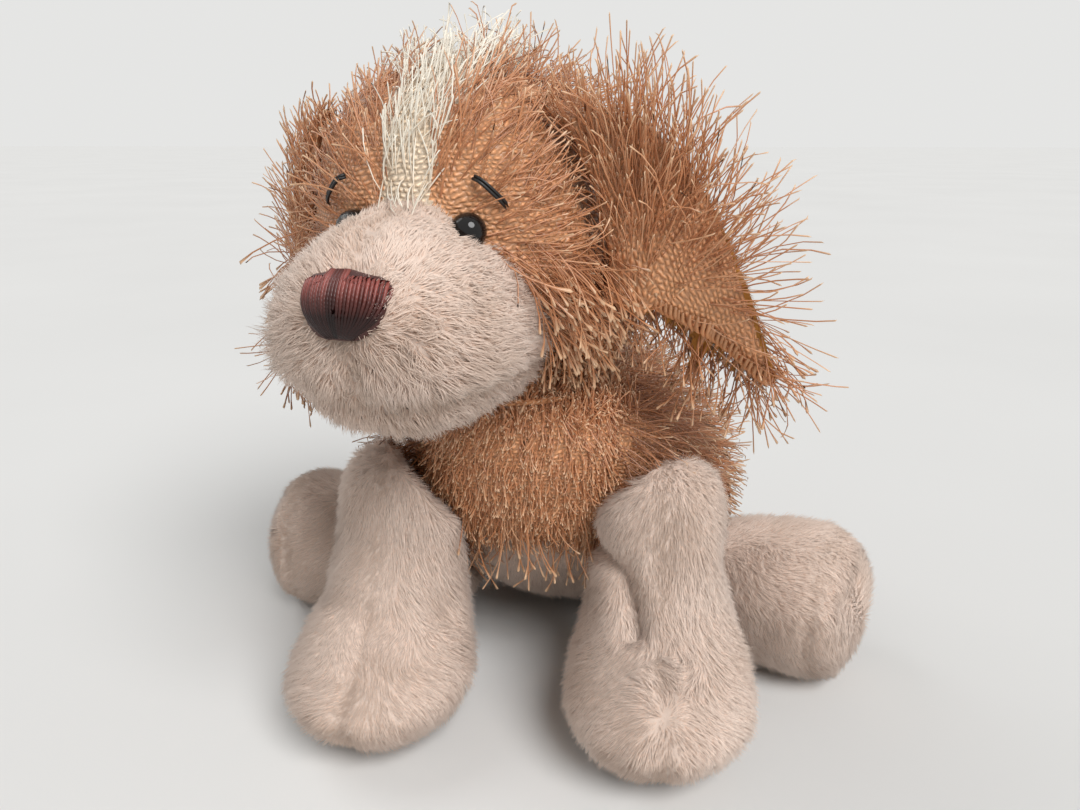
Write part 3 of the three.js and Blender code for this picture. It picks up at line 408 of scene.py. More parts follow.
class Nodes:
    """A material's node tree, with a short way to add and link nodes."""

    def __init__(self, name):
        self.material = bpy.data.materials.new(name)
        self.material.use_nodes = True
        self.tree = self.material.node_tree
        self.shader = self.tree.nodes["Principled BSDF"]

    def add(self, kind, **values):
        node = self.tree.nodes.new("ShaderNode" + kind)
        for name, value in values.items():
            setattr(node, name, value)
        return node

    def link(self, source, target):
        self.tree.links.new(source, target)

    def feed(self, socket, value):
        """Links an output to a socket, or sets the socket to a number or a colour."""
        if isinstance(value, bpy.types.NodeSocket):
            self.link(value, socket)
        elif isinstance(value, (int, float)):
            socket.default_value = value
        else:
            socket.default_value = (*value[:3], 1.0)

    def math(self, operation, first, second=0.0):
        node = self.add("Math", operation=operation)
        self.feed(node.inputs[0], first)
        self.feed(node.inputs[1], second)
        return node.outputs[0]

    def ramp(self, factor, *stops):
        node = self.add("ValToRGB")
        elements = node.color_ramp.elements
        while len(elements) < len(stops):
            elements.new(0.5)
        for element, (place, shade) in zip(elements, stops):
            element.position = place
            element.color = (*shade[:3], 1.0)
        self.link(factor, node.inputs[0])
        return node.outputs[0]

    def mix(self, factor, first, second, blend="MIX"):
        node = self.add("Mix", data_type="RGBA", blend_type=blend)
        self.feed(node.inputs[0], factor)
        self.feed(node.inputs[6], first)
        self.feed(node.inputs[7], second)
        return node.outputs[2]

    def parts(self, vector):
        split = self.add("SeparateXYZ")
        self.link(vector, split.inputs[0])
        return split.outputs[0], split.outputs[1], split.outputs[2]

    def strand_place(self):
        """A strand's own tint, and how far along it a point lies."""
        return self.parts(self.add("UVMap", uv_map=STRAND_MAP).outputs[0])[:2]

    def noise(self, scale, detail=3.0):
        place = self.add("TexCoord")
        node = self.add("TexNoise")
        node.inputs["Scale"].default_value = scale
        node.inputs["Detail"].default_value = detail
        self.link(place.outputs["Object"], node.inputs["Vector"])
        return node.outputs["Fac"]

    def bump(self, height, distance, strength=1.0):
        node = self.add("Bump")
        node.inputs["Strength"].default_value = strength
        node.inputs["Distance"].default_value = distance
        self.link(height, node.inputs["Height"])
        self.link(node.outputs[0], self.shader.inputs["Normal"])

    def finish(self, base, roughness, specular=0.4, sheen=0.0):
        self.link(base, self.shader.inputs["Base Color"])
        self.shader.inputs["Roughness"].default_value = roughness
        self.shader.inputs["Specular IOR Level"].default_value = specular
        self.shader.inputs["Sheen Weight"].default_value = sheen
        return self.material


def shade_of(value, factor):
    return tuple(channel * factor for channel in value[:3])


def strand_cloth(name, root, middle, tip, roughness, specular, sheen=0.0, spread=0.3):
    """Thread or fibre coloured from root to tip, each strand darker or paler by a tint of its own."""
    kit = Nodes(name)
    tint, along = kit.strand_place()
    base = kit.ramp(along, (0.0, root), (0.35, middle), (0.8, middle), (1.0, tip))
    low = 1 - spread
    dark = kit.ramp(tint, (0.0, (low, 0.95 * low, 0.9 * low)), (0.6, WHITE))
    tinted = kit.mix(1.0, base, dark, "MULTIPLY")
    bleach = kit.ramp(tint, (0.6, BLACK), (1.0, shade_of(WHITE, spread)))
    return kit.finish(kit.mix(bleach, tinted, tip), roughness, specular, sheen)


KNIT_SWAY = 2.4  # stitches that the rows and columns wander by
KNIT_SWAY_SCALE = 180.0
KNIT_FUZZ_SCALE = 700.0


def knit_cloth(name, base, wale, course):
    """Purl side of a knit: rows of round shiny loops, each row half a stitch beside the last."""
    kit = Nodes(name)
    across, up, dark = kit.parts(kit.add("Attribute", attribute_name="weave").outputs["Vector"])
    sway = kit.math("MULTIPLY", kit.math("SUBTRACT", kit.noise(KNIT_SWAY_SCALE), 0.5), KNIT_SWAY)
    rows = kit.math("ADD", kit.math("DIVIDE", up, course), sway)
    offset = kit.math("MULTIPLY", kit.math("FLOOR", rows), 0.5)
    columns = kit.math("ADD", kit.math("DIVIDE", across, wale), kit.math("ADD", offset, sway))
    arc = kit.math("SINE", kit.math("MULTIPLY", kit.math("FRACT", columns), math.pi))
    row = kit.math("SINE", kit.math("MULTIPLY", kit.math("FRACT", rows), math.pi))
    loops = kit.math("MULTIPLY", kit.math("POWER", row, 1.3), kit.math("POWER", arc, 1.2))
    fuzz = kit.noise(KNIT_FUZZ_SCALE)
    height = kit.math("ADD", kit.math("MULTIPLY", loops, 0.7), kit.math("MULTIPLY", fuzz, 0.4))
    # Painted shade in the gaps between the loops and a painted highlight on their crests.
    gap, loop, crest_highlight = shade_of(base, 0.5), shade_of(base, 0.82), shade_of(base, 1.25)
    shade = kit.ramp(height, (0.1, gap), (0.4, loop), (0.85, crest_highlight))
    kit.bump(height, distance=0.0009, strength=0.8)
    # dark is painted shade along the ear seams; it mixes the knit towards near black.
    return kit.finish(kit.mix(dark, shade, shade_of(base, 0.12)), roughness=0.36, specular=0.6)


PLY_TURNS = 150.0  # radians along a nose thread
PLY_ROUND = 314.0  # and round it, over the small share of the strand map that a thread takes


def twisted_thread(name, base):
    """Satin thread with the turns of its plies, its colour carrying a painted highlight near the top and
    painted shade that darkens it towards its lower end.
    """
    kit = Nodes(name)
    tint, along = kit.strand_place()
    turns = kit.math("ADD", kit.math("MULTIPLY", along, PLY_TURNS), kit.math("MULTIPLY", tint, PLY_ROUND))
    kit.bump(kit.math("SINE", turns), distance=0.0001, strength=0.15)
    # Painted highlight a little below the top of each thread and painted shade that darkens it towards its
    # lower end.
    fade = kit.ramp(along, (0.0, base), (0.28, shade_of(base, 1.25)), (0.45, shade_of(base, 0.4)),
                    (0.62, shade_of(base, 0.1)))
    own = kit.ramp(tint, (0.0, (0.3, 0.28, 0.28)), (0.85, WHITE))
    return kit.finish(kit.mix(1.0, fade, own, "MULTIPLY"), roughness=0.32, specular=0.35)


def plush_backing(name, root, lit):
    """Backing under short pile, mottled with painted light and shade as the pile parts over it."""
    kit = Nodes(name)
    mottle = kit.noise(420.0, 4.0)
    kit.bump(mottle, distance=0.0008, strength=0.7)
    return kit.finish(kit.ramp(mottle, (0.3, root), (0.7, lit)), roughness=0.85, specular=0.2, sheen=0.2)


def plain_finish(name, base, roughness, specular=0.5, coat=0.0):
    """Moulded or polished plastic with a faint cloudiness."""
    kit = Nodes(name)
    cloud = kit.noise(160.0)
    kit.shader.inputs["Coat Weight"].default_value = coat
    return kit.finish(kit.ramp(cloud, (0.3, shade_of(base, 0.85)), (0.7, base)), roughness, specular)


def cloth_recipes():
    """How each material is made: its maker and what it is given."""
    tones, sizes = settings()
    stitch = {"wale": sizes.wale, "course": sizes.course}
    plush = {"roughness": 0.75, "specular": 0.25}
    return {
        # Painted shade at the pile's roots and painted light at its tips.
        "cream_pile": (strand_cloth, dict(root=tones.cream_root_shade, middle=tones.cream, tip=tones.cream_tip,
                                          sheen=0.12, spread=0.24, **plush)),
        # The backing is darker than the pile as painted shade under it, mottled with painted light and
        # shade.
        "cream_backing": (plush_backing, dict(root=shade_of(tones.cream, 0.7),
                                              lit=shade_of(tones.cream, 0.8))),
        "tan_shag": (strand_cloth, dict(root=tones.tan_root, middle=tones.tan, tip=tones.tan_tip,
                                        roughness=0.33, specular=0.7, spread=0.4)),
        "blaze_shag": (strand_cloth, dict(root=tones.blaze_root, middle=tones.blaze,
                                          tip=shade_of(tones.blaze, 1.08),
                                          roughness=0.42, specular=0.5, spread=0.15)),
        "tan_knit": (knit_cloth, dict(base=tones.knit, **stitch)),
        "blaze_knit": (knit_cloth, dict(base=tones.blaze_knit, **stitch)),
        # Like the cream pile: painted shade at the roots and painted light at the tips, and a darker backing
        # mottled with painted light and shade.
        "ochre_pile": (strand_cloth, dict(root=shade_of(tones.ochre, 0.6), middle=tones.ochre,
                                          tip=shade_of(tones.ochre, 1.35), sheen=0.2, **plush)),
        "ochre_backing": (plush_backing, dict(root=shade_of(tones.ochre, 0.6), lit=tones.ochre)),
        "nose_thread": (twisted_thread, dict(base=tones.nose)),
        # Nearly black: painted shade in the gaps between the nose threads.
        "nose_pad": (plain_finish, dict(base=shade_of(tones.nose, 0.25), roughness=0.5)),
        # Darker at both ends of each stitch, where it goes into the cloth: painted shade.
        "hem_yarn": (strand_cloth, dict(root=shade_of(tones.knit, 0.5), middle=tones.knit,
                                        tip=shade_of(tones.knit, 0.5), roughness=0.42, specular=0.5)),
        # A little lighter in the middle than at the ends, where the stitches dip into the cloth: painted
        # shade at the ends.
        "black_thread": (strand_cloth, dict(root=tones.black, middle=shade_of(tones.black, 1.6),
                                            tip=tones.black, roughness=0.4, specular=0.5)),
        # Darker than the knit: painted shade under the head.
        "seam_thread": (strand_cloth, dict(root=tones.tan_root, middle=shade_of(tones.knit, 0.8),
                                           tip=tones.tan_root, roughness=0.8, specular=0.2)),
        "eye_plastic": (plain_finish, dict(base=tones.black, roughness=0.08, specular=0.35, coat=0.1)),
        "washer_plastic": (plain_finish, dict(base=tones.washer, roughness=0.45)),
    }


MATERIALS = {}


def cloth(name):
    """One of the object's materials, made when it is first asked for."""
    if name not in MATERIALS:
        maker, values = cloth_recipes()[name]
        MATERIALS[name] = maker(name, **values)
    return MATERIALS[name]


# Strands

ROOT_DEPTH = 0.3 * MM  # strands start this far inside the cloth
STRAND_FLOOR = 0.0003  # and stay this far above the floor
STEEP = 0.8  # a strand that rises or falls more than this takes its rings from the x axis
RING_TWIST = 0.7  # radians between the rings of one strand and the next


def triangles_of(mesh, panels):
    """Corners of the triangles of these panels."""
    mesh.calc_loop_triangles()
    panel = read(mesh.attributes["panel"].data, "value")
    face = read(mesh.loop_triangles, "polygon_index")
    return read(mesh.loop_triangles, "vertices", 3)[np.isin(panel[face], panels)]


def scatter(obj, density, rng, panels):
    """Points spread evenly over a form's panels: places, normals and distances to the seams."""
    corner = triangles_of(obj.data, panels)
    places, normals = coords(obj), normals_of(obj)
    seam = read(obj.data.attributes["seam"].data, "value", kind=np.float32)
    a, b, c = (places[corner[:, k]] for k in range(3))
    total = np.cumsum(np.linalg.norm(np.cross(b - a, c - a), axis=1) / 2)
    wanted = int(total[-1] * density / (MM * MM))
    turn = (np.arange(wanted) + rng.random(wanted)) / wanted * total[-1]
    chosen = corner[np.minimum(np.searchsorted(total, turn), len(corner) - 1)]
    root, share = np.sqrt(rng.random(wanted)), rng.random(wanted)
    weights = np.stack([1 - root, root * (1 - share), root * share], axis=1)
    at = np.einsum("nk,nkd->nd", weights, places[chosen])
    facing = unit(np.einsum("nk,nkd->nd", weights, normals[chosen]))
    return at, facing, np.sum(weights * seam[chosen], axis=1)


def swirl(places, scale, seed):
    """Smooth random directions, so that neighbouring strands lean alike."""
    noise.seed_set(settings()[1].seed)  # without a seed the noise starts from the clock
    offset = Vector((seed * 3.7, seed * 1.3, seed * 2.1))
    return np.array([noise.noise_vector(Vector(p) * scale + offset) for p in places])


def grown(places, normals, flow, reach, lean, shares, rng, curl, bend=0.0, droop=0.0, hug=0.0):
    """Paths that leave the cloth leaning along flow, then bend along it, droop, curl and hug the cloth."""
    lean = lean[:, None]
    heading = unit(normals * np.cos(lean) + flow * np.sin(lean) + curl * rng.normal(size=places.shape))
    twist = curl * rng.normal(size=places.shape)
    paths = np.empty((len(places), len(shares) + 1, 3))
    paths[:, 0] = places - ROOT_DEPTH * normals
    for k, share in enumerate(shares):
        paths[:, k + 1] = paths[:, k] + heading * (reach * share)[:, None]
        heading = unit(heading + bend * flow - droop * UP + twist - hug * np.sin(lean) ** 4 * normals)
    return paths


def tube_rings(paths, sides):
    """Which way the rings of each path's tube stand out, and which way the path runs."""
    ahead = unit(paths[:, 1:] - paths[:, :-1])
    spare = np.where(np.abs(ahead[:, :1, 2:]) < STEEP, UP, np.array([1.0, 0.0, 0.0]))
    across = unit(np.cross(ahead, spare))
    beside = np.cross(ahead, across)
    turn = 2 * np.pi * np.arange(sides) / sides + RING_TWIST * np.arange(len(paths))[:, None]
    turn = turn[:, None, :, None]
    return across[:, :, None] * np.cos(turn) + beside[:, :, None] * np.sin(turn), ahead


def tube_faces(rings, sides):
    """Corners of one closed tube's faces in a row, and how many each face has."""
    step, after = np.arange(sides), np.roll(np.arange(sides), -1)
    low = (np.arange(rings - 1) * sides)[:, None]
    walls = np.stack([low + step, low + after, low + sides + after, low + sides + step], axis=-1)
    last = (rings - 1) * sides
    tip = np.stack([last + step, last + after, np.full(sides, rings * sides)], axis=-1)
    corner = np.concatenate([walls.ravel(), tip.ravel(), step[::-1]])
    return corner, np.concatenate([np.full((rings - 1) * sides, 4), np.full(sides, 3), [sides]])


def tube_map(path, sides, corner, tints):
    """Each tube's own narrow strip of the strand map, with v along the tube."""
    along = run_of(path)
    up = np.append(np.repeat(along[:-1] / along[-1], sides), 1.0)[corner]
    aside = np.append(np.tile(np.arange(sides), len(path) - 1), 0)[corner] / sides
    flat = np.empty((len(tints), len(corner), 2), np.float32)
    flat[:, :, 0] = 0.02 + 0.94 * np.asarray(tints)[:, None] + 0.02 * aside
    flat[:, :, 1] = 0.01 + 0.98 * up
    return flat


def strands(name, paths, radius, profile, sides, tints, material, facing=None, soft=0.0):
    """One mesh of thin closed threads, one along each path; profile is each ring's share of the radius.

    With facing, the threads are shaded partly as the cloth below them, as soft fibres are.
    """
    count, rings = paths.shape[0], paths.shape[1] - 1
    ring, ahead = tube_rings(paths, sides)
    thick = np.asarray(radius).reshape(-1, 1) * np.broadcast_to(profile, rings)
    body = paths[:, :-1, None] + ring * thick[:, :, None, None]
    points = np.concatenate([body.reshape(count, -1, 3), paths[:, -1:]], axis=1)
    corner, sizes = tube_faces(rings, sides)
    corners = corner[None] + points.shape[1] * np.arange(count)[:, None]
    starts = np.cumsum(np.tile(sizes, count)) - np.tile(sizes, count)

    mesh = bpy.data.meshes.new(name)
    mesh.vertices.add(points.size // 3)
    mesh.vertices.foreach_set("co", points.ravel())
    mesh.loops.add(corners.size)
    mesh.loops.foreach_set("vertex_index", corners.ravel().astype(np.int32))
    mesh.polygons.add(len(starts))
    mesh.polygons.foreach_set("loop_start", starts.astype(np.int32))
    mesh.update(calc_edges=True)
    mesh.shade_smooth()
    if facing is not None:
        own = np.concatenate([ring.reshape(count, -1, 3), ahead[:, -1:]], axis=1)
        shown = unit((1 - soft) * own + soft * facing[:, None])
        mesh.normals_split_custom_set_from_vertices(shown.reshape(-1, 3))
    flat = tube_map(paths[0], sides, corner, tints)
    mesh.uv_layers.new(name=STRAND_MAP).uv.foreach_set("vector", flat.ravel())
    mesh.materials.append(material)
    made = bpy.data.objects.new(name, mesh)
    bpy.context.scene.collection.objects.link(made)
    return made


def clumped(paths, places, tufts, gather, rng):
    """Draws each strand towards the nearest of a share of them, more at its tip."""
    chosen = rng.permutation(len(places))[: max(1, int(len(places) * tufts))]
    tree = KDTree(len(chosen))
    for index, k in enumerate(chosen):
        tree.insert(places[k], index)
    tree.balance()
    guide = paths[chosen[[tree.find(p)[1] for p in places]]]
    share = gather * (np.linspace(0, 1, paths.shape[1]) ** 1.2)[None, :, None]
    return paths * (1 - share) + guide * share


def keep_above_floor(paths):
    paths[:, :, 2] = np.maximum(paths[:, :, 2], STRAND_FLOOR)
    return paths


# How plush lies: lengths of a fibre's pieces, its thickness along them, and how it curls and gathers
STRAIGHT = {"shares": [1.0], "profile": [1.0], "curl": 0.13, "tufts": 0.05, "gather": 0.32}
CURLED = {"shares": [0.5, 0.5], "profile": [1.0, 0.8], "curl": 0.28, "tufts": 0.035, "gather": 0.5}
PILE_CLEAR = 1.2 * MM  # no pile below this height, where the toy is pressed on the floor
PILE_SOFT = 0.62  # share of the cloth's own normal in the shading of a fibre
FIBRE_SIDES = 3


def pile_tints(places, seam, seed, rng):
    """Paler and darker patches of two sizes, painted light and shade where the brushed nap turns, with a
    random tone for each fibre, and painted shade along the seams where the pile parts.
    """
    patches = 0.35 * swirl(places, 110.0, seed + 5)[:, 0] + 0.5 * swirl(places, 45.0, seed + 9)[:, 1]
    tints = 0.55 + patches + rng.normal(0, 0.16, len(places))
    # Painted shade along the seams.
    return np.clip(tints - 0.5 * np.exp(-seam / (1.5 * MM)), 0, 1)


def plush_pile(name, obj, panels, flow, density, seed, cloth_name="cream_pile", size=even(1.0), lean=1.1,
               style=STRAIGHT):
    """Short soft fibres over a form's panels, gathered into small tufts.

    density is in a square millimetre.
    """
    _, sizes = settings()
    rng = np.random.default_rng(sizes.seed + seed)
    places, normals, seam = scatter(obj, density, rng, panels)
    stays = places[:, 2] > PILE_CLEAR
    places, normals, seam = places[stays], normals[stays], seam[stays]
    drift = swirl(places, 60.0, seed)
    lie = along_surface(flow(places, normals) + 0.7 * drift, normals)
    reach = sizes.pile * rng.uniform(0.7, 1.2, len(places)) * (1 + 0.35 * drift[:, 2])
    reach = reach * size(places, normals) * (0.7 + 0.3 * rise(seam, 0, 5 * MM))
    lean = rng.normal(lean, 0.14, len(places))
    paths = grown(places, normals, lie, reach, lean, style["shares"], rng, style["curl"])
    paths = clumped(paths, places, style["tufts"], style["gather"], rng)
    radius = sizes.fibre * rng.uniform(0.8, 1.25, len(places))
    tints = pile_tints(places, seam, seed, rng)
    return strands(name, keep_above_floor(paths), radius, style["profile"], FIBRE_SIDES, tints,
                   cloth(cloth_name), normals, PILE_SOFT)


YARN_SHARES = [0.24, 0.26, 0.28, 0.18, 0.04]  # lengths of a yarn end's pieces
YARN_PROFILE = [1.0, 1.0, 1.0, 1.0, 1.3]  # its thickness along them
FRAYED_PROFILE = [1.0, 1.0, 1.0, 1.1, 2.5]
YARN_BEND = 0.05
YARN_CURL = 0.17
YARN_TUFTS = 0.2
LEAN_LEAST, LEAN_MOST = 0.05, 1.42  # radians off the cloth's normal
TOP_PRESS = 0.9  # share of a yarn end's rise past the top that is taken off


def yarn_shag(name, obj, panels, flow, density, seed, lean, cloth_name="tan_shag", size=even(1.0),
              keep=even(1.0), droop=0.0, pale=0.0, profile=YARN_PROFILE, gather=0.3, hug=0.0, soft=0.35):
    """Long shiny yarn ends that stand out of a knitted panel, each with a frayed blunt tip.

    density is in a square millimetre, and keep is the share of ends that stay at a place.
    """
    _, sizes = settings()
    rng = np.random.default_rng(sizes.seed + seed)
    places, normals, _ = scatter(obj, density, rng, panels)
    stays = rng.random(len(places)) < keep(places, normals)
    places, normals = places[stays], normals[stays]
    lie = along_surface(flow(places, normals) + 0.4 * swirl(places, 40.0, seed), normals)
    reach = sizes.shag * rng.uniform(0.6, 1.12, len(places)) * size(places, normals)
    lean = lean(places) if callable(lean) else lean
    lean = np.clip(rng.normal(lean, 0.25, len(places)), LEAN_LEAST, LEAN_MOST)
    paths = grown(places, normals, lie, reach, lean, YARN_SHARES, rng, YARN_CURL, YARN_BEND, droop, hug)
    paths = clumped(paths, places, YARN_TUFTS, gather, rng)
    paths[:, :, 2] -= TOP_PRESS * np.maximum(paths[:, :, 2] - sizes.yarn_top, 0)
    radius = sizes.yarn * rng.uniform(0.8, 1.3, len(places))
    # pale shifts each end's tint; values below zero darken the ends as painted shade.
    tints = np.clip(rng.beta(2.2, 2.2, len(places)) + pale, 0, 1)
    return strands(name, keep_above_floor(paths), radius, profile, FIBRE_SIDES, tints,
                   cloth(cloth_name), normals, soft)


# Directions in which the pile and the yarn lie


def away_from(centre):
    return lambda places, normals: unit(places - centre)


def hanging(places, normals):
    return 0 * places - UP


def upwards(places, normals):
    return 0 * places + UP


def forwards(places, normals):
    return -HEAD_Y - 0.4 * UP


def head_flow(places, normals):
    """Away from the face, and downwards behind and below it."""
    out = unit(places - FACE_CENTRE)
    level = ((places - HEAD_CENTRE) @ UP) / (40 * MM)
    down = np.clip(0.25 - level, 0, 1.2)[:, None]
    return out - down * UP


def cheek_flow(places, normals):
    """Downwards and a little away from the face."""
    beside = np.sign((places - HEAD_CENTRE) @ HEAD_X)[:, None]
    return 0.45 * beside * HEAD_X + 0.2 * HEAD_Y - UP


def body_flow(places, normals):
    """Away from the neck, backwards and down."""
    back = np.array([0.0, 0.5, -0.8])
    return unit(places - NECK) + back


PAW_FORWARD = 44 * MM  # the whorl on a paw lies this far in front of the shoulder
PAW_RISE = 17 * MM
PAW_WHORL = 22 * MM
SOLE_WHORL = 20 * MM


def leg_flow(joint):
    """Down the leg, and outwards from a whorl on the paw."""
    front = np.cross(-axis_of(joint), UP)
    whorl = pivot_of(joint) + PAW_FORWARD * front
    whorl[2] = PAW_RISE

    def flow(places, normals):
        near = 0.65 * bell(np.linalg.norm(places - whorl, axis=1), PAW_WHORL)[:, None]
        return near * unit(places - whorl) - (1 - near) * UP

    return flow


def hind_flow(joint, side):
    """Outwards along the leg, and round from the middle of the sole."""
    sole = node_points(f"hind_sole_{side}").mean(axis=0)
    out = unit(sole - pivot_of(joint))

    def flow(places, normals):
        near = bell(np.linalg.norm(places - sole, axis=1), SOLE_WHORL)[:, None]
        return near * unit(places - sole) + (1 - near) * (out - 0.5 * UP)

    return flow


def ear_frame(side):
    """The root of an ear, and the direction down its seam."""
    axis = axis_of(f"ear_{side}_flap")
    return pivot_of(f"ear_{side}_flap"), -np.sign(axis[2]) * axis


def ear_flow(side):
    """Outwards and upwards from the lower end of the ear's seam."""
    root, down = ear_frame(side)
    return away_from(root + 30 * MM * down)


def from_ear_seams(places):
    """Distance to the nearer ear's seam line."""
    nearest = np.full(len(places), np.inf)
    for side in SIDES:
        root, down = ear_frame(side)
        away = places - root
        off = away - np.clip(away @ down, EAR_SEAM_TOP, EAR_SEAM_END)[:, None] * down
        nearest = np.minimum(nearest, np.linalg.norm(off, axis=1))
    return nearest


# How long the pile and the yarn are at a place, and which share of the yarn ends stays there


def muzzle_length(places, normals):
    """Velvet short on the bridge, fluffier below the nose."""
    level = ((places - HEAD_CENTRE) @ UP) / (20 * MM)
    return np.clip(0.75 - 0.5 * level, 0.55, 1.3)


def face_nearness(places):
    """About 1 at the front of the face, 0 beside the head and -1 behind it."""
    return -((places - HEAD_CENTRE) @ HEAD_Y) / (38 * MM)


def face_lean(places):
    """Yarn ends lie flat on the face and stand out behind it."""
    return 0.75 + 0.6 * np.clip(1.3 * face_nearness(places) + 0.4, 0, 1)


def yarn_kept(places, normals):
    """Fewer beside the eyes, where the knit shows, and none in the ear seams."""
    clear = rise(from_ear_seams(places), 4 * MM, 8 * MM)
    return clear * np.clip(0.9 - 0.5 * face_nearness(places), 0.35, 1)


def yarn_size(places, normals):
    """Shorter on the face, and so short beside the ear seams that they stay in sight."""
    front = face_nearness(places)
    clear = np.clip(from_ear_seams(places) / (20 * MM), 0.4, 1)
    beside = np.where((places - HEAD_CENTRE) @ HEAD_X < 0, 0.8, 1)
    return beside * np.clip(0.95 - 0.15 * front, 0.75, 1.0) * np.where(front > -0.1, clear, 1)


def body_size(places, normals):
    """Longest about the shoulders."""
    return np.clip(0.5 + (places[:, 2] - 40 * MM) / (90 * MM), 0.6, 1.15)


def ear_size(side):
    """Shorter beside the ear's seam, and all shorter on the right ear."""
    root, down = ear_frame(side)
    full = 1.1 if side == "left" else 0.85
    return lambda places, normals: full * np.clip(0.4 + off_axis(places - root, down) / (22 * MM), 0.4, 1)


EAR_EDGES = {}  # points along each ear's lower edge, kept before its lining sags


def ear_kept(side):
    """Few yarn ends along the ear's lower edge, where the knit shows."""
    edge = EAR_EDGES[side]

    def kept(places, normals):
        gap = gaps_to(edge, places).min(axis=1)
        near_tip = 1 - np.linalg.norm(places - edge[-1], axis=1) / (16 * MM)
        return np.clip(np.maximum((gap - 5 * MM) / (16 * MM), near_tip), 0.1, 1)

    return kept


def hem_back(side):
    """Only close behind the ear's lower edge."""
    edge = EAR_EDGES[side]
    return lambda places, normals: 0.5 * (gaps_to(edge, places).min(axis=1) < 16 * MM)


def nape(places, normals):
    """Only low behind the ears."""
    local = places - HEAD_CENTRE
    return rise(-(local @ UP), -4 * MM, 14 * MM) * rise(local @ HEAD_Y, 4 * MM, 12 * MM)


def cheek(places, normals):
    """Only low on the cheeks, behind the muzzle."""
    local = places - HEAD_CENTRE
    low = rise(-(local @ UP), 2 * MM, 14 * MM)
    beside = rise(np.abs(local @ HEAD_X), 12 * MM, 12 * MM)
    return low * beside * rise(-(local @ HEAD_Y), -40 * MM, 20 * MM)


def blaze_foot(places, normals):
    """Only where the cream stripe meets the bridge of the muzzle."""
    front = -((places - HEAD_CENTRE) @ HEAD_Y)
    low = (places - HEAD_CENTRE) @ UP
    return 0.3 * (low < low[front > 0].min() + 7 * MM) * (front > 0)


def blaze_edge(places, normals):
    """Only along the sides of the cream stripe, on the face."""
    across = np.abs((places - HEAD_CENTRE) @ HEAD_X)
    return 0.6 * rise(across, 4 * MM, 5 * MM) * (face_nearness(places) > -0.2)


def neck_edge(places, normals):
    """Only a band close below and outside the neck seam."""
    ring = off_axis(node_points("neck_seam") - NECK, UP).max()
    outside = off_axis(places - NECK, UP) > 0.85 * ring
    return outside * rise(places[:, 2] - NECK[2], -12 * MM, 6 * MM)


def chest_edge(places, normals):
    """Only near the chest's lower edge."""
    return np.clip((places[:, 2].min() + 30 * MM - places[:, 2]) / (22 * MM), 0, 0.7)


# Operators


class StepOperator:
    """What every building step shares."""

    bl_options = {"REGISTER", "UNDO"}

    def execute(self, context):
        self.build()
        return {"FINISHED"}


class SPANIEL_OT_body(StepOperator, bpy.types.Operator):
    """Stuffed body with a knitted back and chest and a plush belly"""

    bl_idname = "spaniel.body"
    bl_label = "Body"
    wrap = 50 * MM  # radius at which the knit goes round the body

    def build(self):
        _, sizes = settings()
        held = ["body_stuffing", "pellet_pouch"]
        body = stuffed("body_form", BODY_PANELS + held, sizes.voxel)
        tan, cream = cloth("tan_knit"), cloth("cream_backing")
        lay_panels(body, BODY_PANELS, [tan, tan, tan, cream])
        places = coords(body)
        store_weave(body, self.wrap * np.arctan2(places[:, 0], -places[:, 1]), places[:, 2])
        dress(body, "torso", BODY_PANELS + held)


class SPANIEL_OT_head(StepOperator, bpy.types.Operator):
    """Stuffed head with a knitted crown and a plush muzzle"""

    bl_idname = "spaniel.head"
    bl_label = "Head"
    wrap = 44 * MM  # radius at which the knit goes round the head
    fineness = 0.8  # mesh size, as a share of the other forms'

    def build(self):
        _, sizes = settings()
        head = stuffed("head_form", HEAD_PANELS + ["head_stuffing"], self.fineness * sizes.voxel)
        tan, blaze, cream = cloth("tan_knit"), cloth("blaze_knit"), cloth("cream_backing")
        for side in SIDES:
            root, down = ear_frame(side)
            seam = (root + EAR_SEAM_TOP * down, root + EAR_SEAM_END * down)
            crease(head, seam, 3.5 * MM, 3 * MM)
        lay_panels(head, HEAD_PANELS, [tan, tan, blaze, cream, cream, cream])
        local = coords(head) - HEAD_CENTRE
        # Painted shade in the groove of each ear seam, which darkens the knit there.
        dark = 0.85 * bell(from_ear_seams(coords(head)), 5 * MM)
        store_weave(head, self.wrap * np.arctan2(local @ HEAD_X, -(local @ HEAD_Y)), local[:, 2], dark)
        dress(head, "head", HEAD_PANELS + ["head_stuffing"])


# Folds of the front legs, in millimetres: a line, its depth and its width; a bulge has a depth below zero
FOLDS = {
    "front_leg_left": (
        ([(15, -36, 54), (20, -45, 55), (26, -52.5, 53), (29, -58, 47), (31, -63, 41)], 4.5, 3.4),
        ([(20, -40, 66), (25, -47, 64)], -2.5, 8.0),
        ([(57, -40, 52), (60, -30, 46)], 2.0, 6.0),
    ),
    "front_leg_right": (
        ([(-62, -52, 37), (-43, -66, 38), (-24, -56, 37)], 1.8, 5.0),
        ([(-52, -45, 66), (-40, -50, 64)], -1.5, 9.0),
    ),
}


